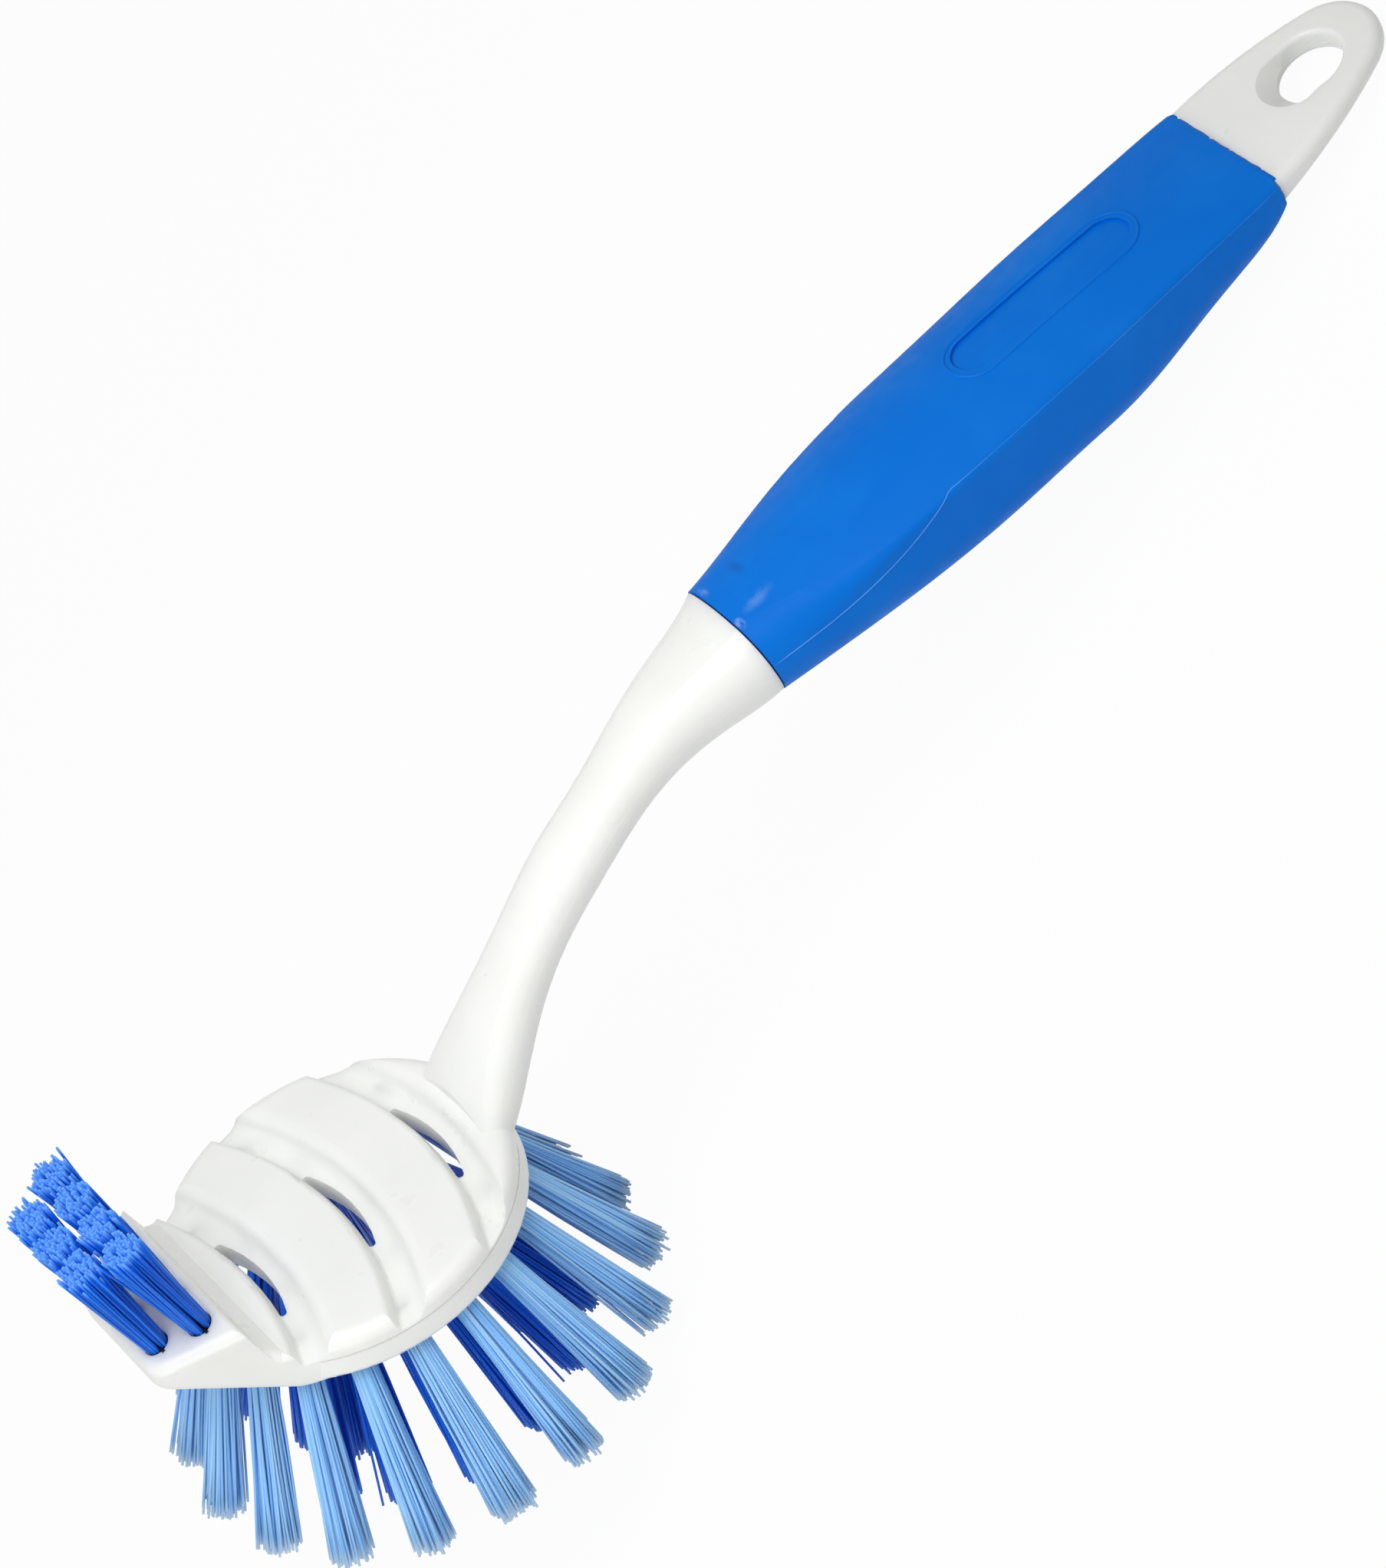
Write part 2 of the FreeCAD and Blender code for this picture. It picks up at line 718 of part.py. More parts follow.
valley.ReferenceAxis = (valley_sketch, ["Axis0"])
valley.Angle = 360

slot_sketch = new_sketch(moulding, "slot_outline", "XY_Plane")
slot_front_radius = dim("step_radius") + dim("step_slope")
slot_half = dim("slot_half_share") * dim("head_radius")
slot_sag = slot_front_radius - root(slot_front_radius * slot_front_radius - slot_half * slot_half)
slot_front_x = foot_x - slot_sag
rear_sag = slot_sag + dim("slot_width") - dim("slot_end_width")
slot_rear_radius = (slot_half * slot_half + rear_sag * rear_sag) / (2 * rear_sag)
slot_end_radius = SLOT_END_SHARE * dim("slot_end_width")
draw(
    slot_sketch,
    [
        (slot_front_x, slot_half),
        (slot_front_x, -slot_half),
        (slot_front_x + dim("slot_end_width"), -slot_half),
        (slot_front_x + dim("slot_end_width"), slot_half),
    ],
    {
        0: (slot_front_radius, -1),
        1: (slot_end_radius, 1),
        2: (slot_rear_radius, 1),
        3: (slot_end_radius, 1),
    },
)
slot = through_cut(moulding, "slot", slot_sketch)

steps = moulding.newObject("PartDesign::LinearPattern", "panel_steps")
steps.Originals = [valley, slot]
steps.Direction = (origin_plane(moulding, "X_Axis"), [""])
steps.Occurrences = PANEL_STEPS
bind(steps, "Length", (PANEL_STEPS - 1) * panel_pitch)
moulding.Tip = steps
doc.recompute()


def on_loop(edge):
    """Whether an edge runs along the loop, and its middle's distance from the eye's axis and height."""
    pitch = math.radians(dim("handle_pitch").value)
    middle = edge.CenterOfMass - Vector(dim("seam_x").value, 0, dim("seam_z").value)
    along = middle.x * math.cos(pitch) + middle.z * math.sin(pitch)
    height = middle.z * math.cos(pitch) - middle.x * math.sin(pitch)
    chord = ends(edge)[-1] - ends(edge)[0]
    upright = abs(chord.z) > UPRIGHT_SHARE * chord.Length + NEAR
    beyond = along > loop_start.value + dim("core_root").value + NEAR
    return beyond and not upright, math.hypot(along - eye_x.value, middle.y), height


def on_outline(edge):
    """Whether an edge belongs to the loop's outer outline, and whether it lies on the loop's top."""
    runs, offset, height = on_loop(edge)
    high = height > (dim("loop_start_floor").value + dim("loop_tip_top").value) / 2
    return runs and offset > EYE_REACH_SHARE * dim("eye_radius").value, high


def on_outline_top(edge):
    """Whether an edge belongs to the outline of the loop's top."""
    return on_outline(edge) == (True, True)


def on_outline_foot(edge):
    """Whether an edge belongs to the outline of the loop's underside."""
    return on_outline(edge) == (True, False)


def on_eye(edge):
    """Whether an edge belongs to the eye."""
    runs, offset, _ = on_loop(edge)
    return runs and offset < EYE_REACH_SHARE * dim("eye_radius").value


soften("loop_top_edge", "loop_top_round", on_outline_top)
soften("loop_under_edge", "loop_under_round", on_outline_foot)
soften("eye_soft_edge", "eye_round", on_eye)

# The eye's mouth runs on towards the grip: a slanting lead-in of long oval sections, shorter below
lead_end = eye_x - dim("eye_lead_back")
lead_rings = []
for name, lift, level in (
    ("eye_lead_top", dim("loop_tip_top") + dim("eye_lead_over"), "mouth"),
    ("eye_lead_low", dim("eye_lead_floor"), "low"),
):
    ring = plan_sketch(moulding, name, lift)
    half = dim(f"eye_{level}_half")
    lead_start = eye_x - dim(f"eye_{level}_run")
    end_round = 2 * EYE_END_SHARE * half
    draw(
        ring,
        [(lead_start, -half), (lead_end, -half), (lead_end, half), (lead_start, half)],
        {1: (end_round, 1), 3: (end_round, 1)},
    )
    lead_rings.append(ring)
lead = feature(moulding, "SubtractiveLoft", "eye_lead", lead_rings[0])
lead.Sections = lead_rings[1:]
moulding.Tip = lead
doc.recompute()

# Grip
sleeve_body = doc.addObject("PartDesign::Body", "sleeve_body")
rounds = {"a": "grip_front_round", "b": "grip_scoop_round"}
bellies = {"h": "grip_heel_round", "i": "grip_rear_round"}
grip_sections = []
for letter in "abcdefghi":
    share = GRIP_SHARES.get(letter, 0.0 if letter == "a" else 1.0)
    along = dim("seam_gap") + share * dim("grip_length")
    station = handle_section(
        sleeve_body, f"grip_{letter}", along, dim("handle_pitch"), dim("seam_x"), dim("seam_z")
    )
    draw_section(
        station, dim(f"grip_{letter}_half"), dim(f"grip_{letter}_top"), dim(f"grip_{letter}_belly"),
        dim(rounds.get(letter, "grip_crease_round")), dim(bellies.get(letter, "grip_belly_round")),
        dim(f"grip_{letter}_crown"),
    )
    grip_sections.append(station)
sleeve = feature(sleeve_body, "AdditiveLoft", "sleeve", grip_sections[0])
sleeve.Sections = grip_sections[1:]

cavity_sketch = handle_section(
    sleeve_body, "cavity_section", -dim("core_tuck"), dim("handle_pitch"), dim("seam_x"), dim("seam_z")
)
draw_core(cavity_sketch, dim("overmould_gap"))
cavity = feature(sleeve_body, "Pocket", "cavity", cavity_sketch, Reversed=True)
bind(cavity, "Length", loop_start + 2 * dim("core_tuck"))

# Label recess: within the label's outline, what stands out of a copy of the sleeve sunk by its depth
label_half = dim("label_half")
label_first = dim("label_start") + label_half
label_last = dim("label_start") + dim("label_length") - label_half
stamp = doc.addObject("PartDesign::Body", "label_stamp")
label_sketch = plan_sketch(stamp, "label_outline", dim("label_floor"))
draw(
    label_sketch,
    [
        (label_first, -label_half),
        (label_last, -label_half),
        (label_last + label_half, as_size(0)),
        (label_last, label_half),
        (label_first, label_half),
        (label_first - label_half, as_size(0)),
    ],
    {1: (label_half, 1), 2: (label_half, 1), 4: (label_half, 1), 5: (label_half, 1)},
)
stamp_pad = feature(stamp, "Pad", "label_block", label_sketch)
bind(stamp_pad, "Length", dim("label_block_height"))
sunk = doc.addObject("Part::Compound", "sunk_sleeve")
sunk.Links = [sleeve_body]
bind(sunk, "Placement.Base.x", dim("label_depth") * sine(dim("handle_pitch")))
bind(sunk, "Placement.Base.z", -dim("label_depth") * cosine(dim("handle_pitch")))
recess = doc.addObject("Part::Cut", "label_recess")
recess.Base = stamp
recess.Tool = sunk
grip = doc.addObject("Part::Cut", "grip")
grip.Label = "grip_sleeve"
grip.Base = sleeve_body
grip.Tool = recess
doc.recompute()

# Tufts: each has a frame at its socket's mouth, with z out along the bristles and x along its anchor


def frame_at(mouth, way, cross):
    """Placement with its origin at the mouth, z along way and x along cross."""
    way.normalize()
    return Placement(mouth, Rotation(cross, way.cross(cross), way, "ZXY"))


def hanging_frame(x, y, flare):
    """Frame of a tuft under the head, leaning out from the head's axis by flare degrees."""
    turn = math.atan2(y, x)
    lean = math.radians(flare)
    way = Vector(math.cos(turn) * math.sin(lean), math.sin(turn) * math.sin(lean), -math.cos(lean))
    return frame_at(Vector(x, y, 0), way, Vector(-math.sin(turn), math.cos(turn), 0))


def ring_frames(radius, flare, angles):
    """Frames of a ring of tufts at these angles in degrees."""
    spots = [(math.cos(math.radians(angle)), math.sin(math.radians(angle))) for angle in angles]
    return [hanging_frame(radius * x, radius * y, flare) for x, y in spots]


def lip_frames(back, places):
    """Frames of a row of tufts on the lip's sloping face, a distance in front of the crest."""
    tilt = math.radians(dim("lip_tilt").value)
    x = crest_x.value - back
    z = crest_z.value - back * math.tan(tilt)
    way = Vector(-math.sin(tilt), 0, math.cos(tilt))
    return [frame_at(Vector(x, y, z), Vector(way), Vector(0, 1, 0)) for y in places]


def row_places(count, step):
    """Places of a centred row."""
    return [(index - (count - 1) / 2) * step for index in range(count)]


trim = dim("trim_depth")
head_radius = dim("head_radius").value
outer_radius = head_radius - dim("outer_inset").value
middle_radius = dim("middle_share").value * head_radius
middle_start = dim("middle_start").value
middle_step = (180 - 2 * middle_start) / (MIDDLE_TUFTS_PER_SIDE - 1)
middle_half = [middle_start + middle_step * index for index in range(MIDDLE_TUFTS_PER_SIDE)]
inner_flare = dim("inner_flare").value
inner_spots = [
    (side * dim("inner_pair_run").value * head_radius, across * dim("inner_pair_side").value * head_radius)
    for side in (1, -1) for across in (1, -1)
]
inner_spots += [(side * dim("inner_single_run").value * head_radius, 0.0) for side in (1, -1)]
lip_step = dim("lip_tuft_pitch").value
KINDS = {
    "outer": (
        ring_frames(
            outer_radius, dim("outer_flare").value, [index * 360 / OUTER_TUFTS for index in range(OUTER_TUFTS)]
        ),
        trim / cosine(dim("outer_flare")), dim("tuft_tip_radius"),
    ),
    "middle": (
        ring_frames(
            middle_radius, dim("middle_flare").value, middle_half + [-angle for angle in middle_half]
        ),
        trim / cosine(dim("middle_flare")), dim("tuft_tip_radius"),
    ),
    "inner": (
        [hanging_frame(x, y, inner_flare) for x, y in inner_spots],
        trim / cosine(dim("inner_flare")), dim("tuft_tip_radius"),
    ),
    "lip": (
        lip_frames(dim("lip_rear_row").value, row_places(LIP_REAR_TUFTS, lip_step))
        + lip_frames(dim("lip_front_row").value, row_places(LIP_FRONT_TUFTS, lip_step)),
        dim("lip_tuft_length"), dim("lip_tuft_tip_radius"),
    ),
}


def solid(kind, name, placement=None, **sizes):
    """A primitive whose sizes follow the sheet."""
    item = doc.addObject(f"Part::{kind}", name)
    for key, size in sizes.items():
        bind(item, key, size)
    item.Placement = placement or Placement()
    return item


depth = dim("socket_depth")
root_radius = dim("tuft_root_radius")
LIFTS = {"lip": "lip_anchor_lift"}


def plate(name, frame, long, low, grow):
    """A flat plate across a socket, its underside at a height over the mouth, its size grown all round."""
    length = long + 2 * grow
    thick = dim("anchor_thickness") + 2 * grow
    foot = Vector(-length.value / 2, -thick.value / 2, (low - grow).value)
    corner = frame.multiply(Placement(foot, Rotation()))
    return solid("Box", name, corner, Length=length, Width=thick, Height=dim("anchor_height") + 2 * grow)


tufts = []
anchor_groups = []
sockets = []
slots = []
for kind, (frames, length, tip_radius) in KINDS.items():
    mouth_radius = root_radius + (tip_radius - root_radius) * depth / (depth + length)
    socket_radius = mouth_radius + dim("socket_clearance")
    anchor_length = 2 * (socket_radius + dim("anchor_bite"))
    anchor_low = dim(LIFTS.get(kind, "anchor_lift")) - depth
    bristles = solid(
        "Cone", f"{kind}_bristles", Placement(Vector(0, 0, -depth.value), Rotation()),
        Radius1=root_radius, Radius2=tip_radius, Height=depth + length,
    )
    fold = plate(f"{kind}_fold", Placement(), anchor_length, anchor_low, dim("anchor_clearance"))
    below = Placement(Vector(0, 0, -(depth + dim("socket_bottom")).value), Rotation())
    anchors = []
    for number, frame in enumerate(frames, start=1):
        tuft = doc.addObject("Part::Cut", f"{kind}_tuft_{number:02d}")
        tuft.Base = bristles
        tuft.Tool = fold
        tufts.append((tuft, frame))
        anchors.append(plate(f"{kind}_anchor_{number:02d}", frame, anchor_length, anchor_low, as_size(0)))
        slots.append(plate(
            f"{kind}_slot_{number:02d}", frame, anchor_length, anchor_low, dim("anchor_clearance")
        ))
        sockets.append(solid(
            "Cylinder", f"{kind}_socket_{number:02d}", frame.multiply(below),
            Radius=socket_radius, Height=depth + dim("socket_bottom") + dim("socket_over"),
        ))
    group = doc.addObject("Part::Compound", f"{kind}_anchors")
    group.Links = anchors
    anchor_groups.append(group)

socket_tools = doc.addObject("Part::Compound", "socket_tools")
socket_tools.Links = sockets
slot_tools = doc.addObject("Part::Compound", "slot_tools")
slot_tools.Links = slots
drilled = doc.addObject("Part::Cut", "drilled")
drilled.Base = moulding
drilled.Tool = socket_tools
body = doc.addObject("Part::Cut", "brush_body")
body.Base = drilled
body.Tool = slot_tools
doc.recompute()

# Rest: the lower outline under the centre of volume gives the tilt, then the brush is centred on the floor


def outline_points(shape):
    """Points of a shape's skin."""
    return shape.tessellate(SKIN_TOLERANCE)[0]


def lower_chain(points):
    """Lower convex chain of (x, z) points, from the smallest x to the largest."""
    chain = []
    for point in sorted(set(points)):
        while len(chain) > 1:
            (x1, z1), (x2, z2) = chain[-2:]
            if (x2 - x1) * (point[1] - z1) - (z2 - z1) * (point[0] - x1) > 0:
                break
            chain.pop()
        chain.append(point)
    return chain


def rest_placement(shapes):
    """The turn about Y and the shift that rest the shapes on the floor."""
    points = [point for shape in shapes for point in outline_points(shape)]
    volume = sum(shape.Volume for shape in shapes)
    balance = sum(
        part.CenterOfMass.x * part.Volume for shape in shapes for part in shape.Solids
    ) / volume
    chain = lower_chain([(round(point.x, 4), round(point.z, 4)) for point in points])
    (x1, z1), (x2, z2) = next(
        pair for pair in zip(chain, chain[1:]) if pair[0][0] <= balance <= pair[1][0]
    )
    tilt = Rotation(Vector(0, 1, 0), math.degrees(math.atan2(z2 - z1, x2 - x1)))
    turned = [tilt.multVec(point) for point in points]
    xs, ys, zs = ([getattr(point, axis) for point in turned] for axis in "xyz")
    middle = Vector(-(min(xs) + max(xs)) / 2, -(min(ys) + max(ys)) / 2, -min(zs))
    return Placement(middle, tilt)


def moved(shape, frame):
    """A copy of a shape in a frame."""
    copy = shape.copy()
    copy.Placement = frame
    return copy


pieces = [(body, Placement()), (grip, Placement())]
pieces += tufts
pieces += [(group, Placement()) for group in anchor_groups]
rest = rest_placement([moved(piece.Shape, frame) for piece, frame in pieces])
for piece, frame in pieces:
    piece.Placement = rest.multiply(frame)
doc.recompute()

faults = [item.Name for item in doc.Objects if "Invalid" in item.State or "Error" in item.State]
faults += [piece.Label for piece, _ in pieces if piece.Shape.isNull() or not piece.Shape.isValid()]
if faults:
    raise RuntimeError(f"not built: {faults}")
os.makedirs("parts", exist_ok=True)
for piece, _ in pieces:
    piece.Shape.exportStep(os.path.join("parts", f"{piece.Label}.step"))
print("pieces", len(pieces), "rest", rest.Base, "tilt", math.degrees(rest.Rotation.Angle))
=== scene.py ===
"""Dish brush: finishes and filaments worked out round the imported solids.

The white body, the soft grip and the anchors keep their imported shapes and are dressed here.
Every tuft is a bundle of separate filaments that stands where its packed cone is.
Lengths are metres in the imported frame, unless a name or a docstring says millimetres.
"""
import logging
import math
from dataclasses import dataclass
from enum import Enum

import bpy
import numpy as np
from mathutils import Euler, Matrix, Vector
from numpy.typing import ArrayLike


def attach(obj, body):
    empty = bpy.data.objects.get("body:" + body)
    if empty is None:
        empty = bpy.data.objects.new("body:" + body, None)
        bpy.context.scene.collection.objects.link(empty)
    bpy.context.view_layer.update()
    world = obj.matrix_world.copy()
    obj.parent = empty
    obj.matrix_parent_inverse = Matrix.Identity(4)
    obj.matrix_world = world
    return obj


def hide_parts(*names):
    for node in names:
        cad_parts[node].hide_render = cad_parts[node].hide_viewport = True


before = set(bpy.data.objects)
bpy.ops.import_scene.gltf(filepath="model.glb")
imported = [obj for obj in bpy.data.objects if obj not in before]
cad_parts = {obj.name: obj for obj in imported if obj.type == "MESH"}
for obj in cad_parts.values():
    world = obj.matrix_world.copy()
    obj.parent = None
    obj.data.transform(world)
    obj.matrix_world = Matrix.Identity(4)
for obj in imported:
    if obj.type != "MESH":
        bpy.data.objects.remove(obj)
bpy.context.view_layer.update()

MM = 0.001
BODY = "root"
SEED = 20
GOLDEN_TURN = math.pi * (3 - math.sqrt(5))
NEAR_AND_FAR = (-1.0, 1.0)
WHITE = (1.0, 1.0, 1.0, 1.0)
# limits past which a ray is edge-on to a triangle, a hit is outside it, and a tuft doesn't point down
EDGE_ON = 1e-18
HIT_SLACK = 1e-6
LEAST_FALL = 1e-6
log = logging.getLogger("dish_brush")


def linear(code: str) -> tuple[float, float, float, float]:
    """Turns an sRGB hex colour into linear red, green, blue and a full alpha.

    Args:
        code: colour as "#RRGGBB".

    Returns:
        Four linear numbers.
    """
    values = [int(code[place:place + 2], 16) / 255 for place in (1, 3, 5)]
    bent = [v / 12.92 if v <= 0.04045 else ((v + 0.055) / 1.055) ** 2.4 for v in values]
    return bent[0], bent[1], bent[2], 1.0


def add_node(tree: bpy.types.NodeTree, kind: str, inputs: dict | None = None, **settings) -> bpy.types.Node:
    """Adds one node, sets its properties, and fills or links its inputs.

    Args:
        tree: node tree that gets the node.
        kind: the node's type name.
        inputs: input name or number to a value, or to the output socket that feeds it.
        **settings: properties of the node.

    Returns:
        The new node.
    """
    node = tree.nodes.new(kind)
    for key, value in settings.items():
        setattr(node, key, value)
    for key, value in (inputs or {}).items():
        if isinstance(value, bpy.types.NodeSocket):
            tree.links.new(value, node.inputs[key])
        else:
            node.inputs[key].default_value = value
    return node


def blank_material(name: str) -> tuple[bpy.types.Material, bpy.types.NodeTree]:
    """Makes a material with an empty node tree."""
    material = bpy.data.materials.new(name)
    material.use_nodes = True
    material.node_tree.nodes.clear()
    return material, material.node_tree


def per_metre(size_mm: float) -> float:
    """Texture scale whose pattern repeats about once in this many millimetres."""
    return 1 / (size_mm * MM)


def vertices(node: bpy.types.Object) -> np.ndarray:
    """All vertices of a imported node, as rows of x, y and z."""
    flat = np.zeros(len(node.data.vertices) * 3, np.float32)
    node.data.vertices.foreach_get("co", flat)
    return flat.reshape(-1, 3).astype(float)


def triangles(node: bpy.types.Object) -> np.ndarray:
    """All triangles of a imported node, as corners by x, y and z."""
    node.data.calc_loop_triangles()
    flat = np.zeros(len(node.data.loop_triangles) * 3, np.int32)
    node.data.loop_triangles.foreach_get("vertices", flat)
    return vertices(node)[flat.reshape(-1, 3)]


def cast(starts: np.ndarray, way: np.ndarray, soup: np.ndarray) -> np.ndarray:
    """Finds where parallel rays first meet a triangle soup.

    For each ray and triangle, the hit is start + t way = a + u (b - a) + v (c - a), solved for
    t, u and v by cross products, and it counts where u, v and 1 - u - v are not negative.

    Args:
        starts: ray origins, one row each.
        way: the rays' direction.
        soup: triangle corners.

    Returns:
        Hit points, one row for each ray.
    """
    ways = np.broadcast_to(way, starts.shape)
    corner, one, two = soup[:, 0], soup[:, 1] - soup[:, 0], soup[:, 2] - soup[:, 0]
    cross = np.cross(ways[:, None], two[None])
    det = np.einsum("tk,rtk->rt", one, cross)
    crossing = np.abs(det) > EDGE_ON
    safe = np.where(crossing, det, 1.0)
    offset = starts[:, None] - corner[None]
    u = np.einsum("rtk,rtk->rt", offset, cross) / safe
    turned = np.cross(offset, one[None])
    v = np.einsum("rk,rtk->rt", ways, turned) / safe
    reach = np.einsum("tk,rtk->rt", two, turned) / safe
    inside = (u > -HIT_SLACK) & (v > -HIT_SLACK) & (u + v < 1 + HIT_SLACK)
    first = np.where(crossing & inside & (reach > 0), reach, np.inf).min(axis=1)
    return starts + ways * first[:, None]


@dataclass(frozen=True)
class MouldedPolypropylene:
    """White polypropylene from a polished mould: satin, a little cloudy, faintly uneven in tone."""

    name: str = "polypropylene_white_moulded"
    colour: str = "#F6F7F3"
    deep_colour: str = "#F0F1EC"
    roughness: tuple[float, float] = (0.26, 0.4)
    tone_mm: float = 24.0
    flow_mm: float = 7.0
    grain_mm: float = 0.45

    def make(self) -> bpy.types.Material:
        """Builds the material."""
        material, tree = blank_material(self.name)
        place = add_node(tree, "ShaderNodeTexCoord").outputs["Object"]
        tone = add_node(
            tree, "ShaderNodeTexNoise", {"Vector": place, "Scale": per_metre(self.tone_mm), "Detail": 3.0}
        )
        shade = add_node(
            tree, "ShaderNodeMapRange", {"Value": tone.outputs["Fac"], "From Min": 0.35, "From Max": 0.7}
        )
        colour = add_node(
            tree, "ShaderNodeMix",
            {"Factor": shade.outputs["Result"], 6: linear(self.colour), 7: linear(self.deep_colour)},
            data_type="RGBA",
        )
        flow = add_node(
            tree, "ShaderNodeTexNoise", {"Vector": place, "Scale": per_metre(self.flow_mm), "Detail": 4.0}
        )
        gloss = add_node(
            tree, "ShaderNodeMapRange",
            {"Value": flow.outputs["Fac"], "From Min": 0.3, "From Max": 0.7,
             "To Min": self.roughness[0], "To Max": self.roughness[1]},
        )
        # the spark-eroded grain is finer than a pixel, so it is drawn at about four pixels
        grain = add_node(
            tree, "ShaderNodeTexNoise", {"Vector": place, "Scale": per_metre(self.grain_mm), "Detail": 2.0}
        )
        waves = add_node(
            tree, "ShaderNodeBump",
            {"Height": flow.outputs["Fac"], "Strength": 0.25, "Distance": 0.06 * MM},
        )
        bump = add_node(
            tree, "ShaderNodeBump",
            {"Height": grain.outputs["Fac"], "Strength": 0.2, "Distance": 0.012 * MM,
             "Normal": waves.outputs["Normal"]},
        )
        surface = add_node(
            tree, "ShaderNodeBsdfPrincipled",
            {"Base Color": colour.outputs[2], "Roughness": gloss.outputs["Result"], "IOR": 1.49,
             "Subsurface Weight": 0.5, "Subsurface Radius": (1.0, 0.93, 0.85), "Subsurface Scale": 3.5 * MM,
             "Normal": bump.outputs["Normal"]},
        )
        add_node(tree, "ShaderNodeOutputMaterial", {"Surface": surface.outputs["BSDF"]})
        return material


@dataclass(frozen=True)
class LocalFrame:
    """A region's own axes: its origin, and its x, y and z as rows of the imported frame."""

    origin: np.ndarray
    axes: np.ndarray

    def point(self, millimetres: ArrayLike) -> np.ndarray:
        """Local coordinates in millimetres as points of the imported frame."""
        return self.origin + np.asarray(millimetres, float) * MM @ self.axes

    def way(self, direction: ArrayLike) -> np.ndarray:
        """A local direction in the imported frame."""
        return np.asarray(direction, float) @ self.axes


@dataclass(frozen=True)
class HandleFrame(LocalFrame):
    """The handle's own axes: origin at the seam, x along it, y across and z up."""

    def turn(self) -> Euler:
        """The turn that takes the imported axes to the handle's."""
        return Matrix(self.axes.tolist()).transposed().to_euler()


@dataclass(frozen=True)
class Scuff:
    """A patch of colour on the grip, some rubbed wear and some painted highlight and shade: middle and half
    sizes along, across and up the handle in millimetres, and colour.
    """

    centre: tuple[float, float, float]
    half: tuple[float, float, float]
    colour: str
    strength: float
    grit_mm: float
    full_share: float = 0.15
    grit_range: tuple[float, float] = (0.4, 0.62)

    def share(
        self, tree: bpy.types.NodeTree, place: bpy.types.NodeSocket, handle: HandleFrame
    ) -> bpy.types.NodeSocket:
        """How much of the patch shows: full in its middle, broken by grit, none past its half sizes.

        Args:
            tree: node tree of the rubber.
            place: object coordinates.
            handle: the handle's axes.

        Returns:
            Socket that gives the share.
        """
        local = add_node(
            tree, "ShaderNodeMapping",
            {"Vector": place, "Location": tuple(handle.point(self.centre)), "Rotation": handle.turn(),
             "Scale": tuple(size * MM for size in self.half)},
            vector_type="TEXTURE",
        )
        far = add_node(tree, "ShaderNodeVectorMath", {0: local.outputs["Vector"]}, operation="LENGTH")
        inside = add_node(
            tree, "ShaderNodeMapRange",
            {"Value": far.outputs["Value"], "From Min": self.full_share, "From Max": 1.0,
             "To Min": self.strength, "To Max": 0.0},
            interpolation_type="SMOOTHSTEP",
        )
        grit = add_node(
            tree, "ShaderNodeTexNoise", {"Vector": place, "Scale": per_metre(self.grit_mm), "Detail": 5.0}
        )
        broken = add_node(
            tree, "ShaderNodeMapRange",
            {"Value": grit.outputs["Fac"], "From Min": self.grit_range[0], "From Max": self.grit_range[1]},
        )
        both = add_node(
            tree, "ShaderNodeMath", {0: inside.outputs["Result"], 1: broken.outputs["Result"]},
            operation="MULTIPLY",
        )
        return both.outputs[0]


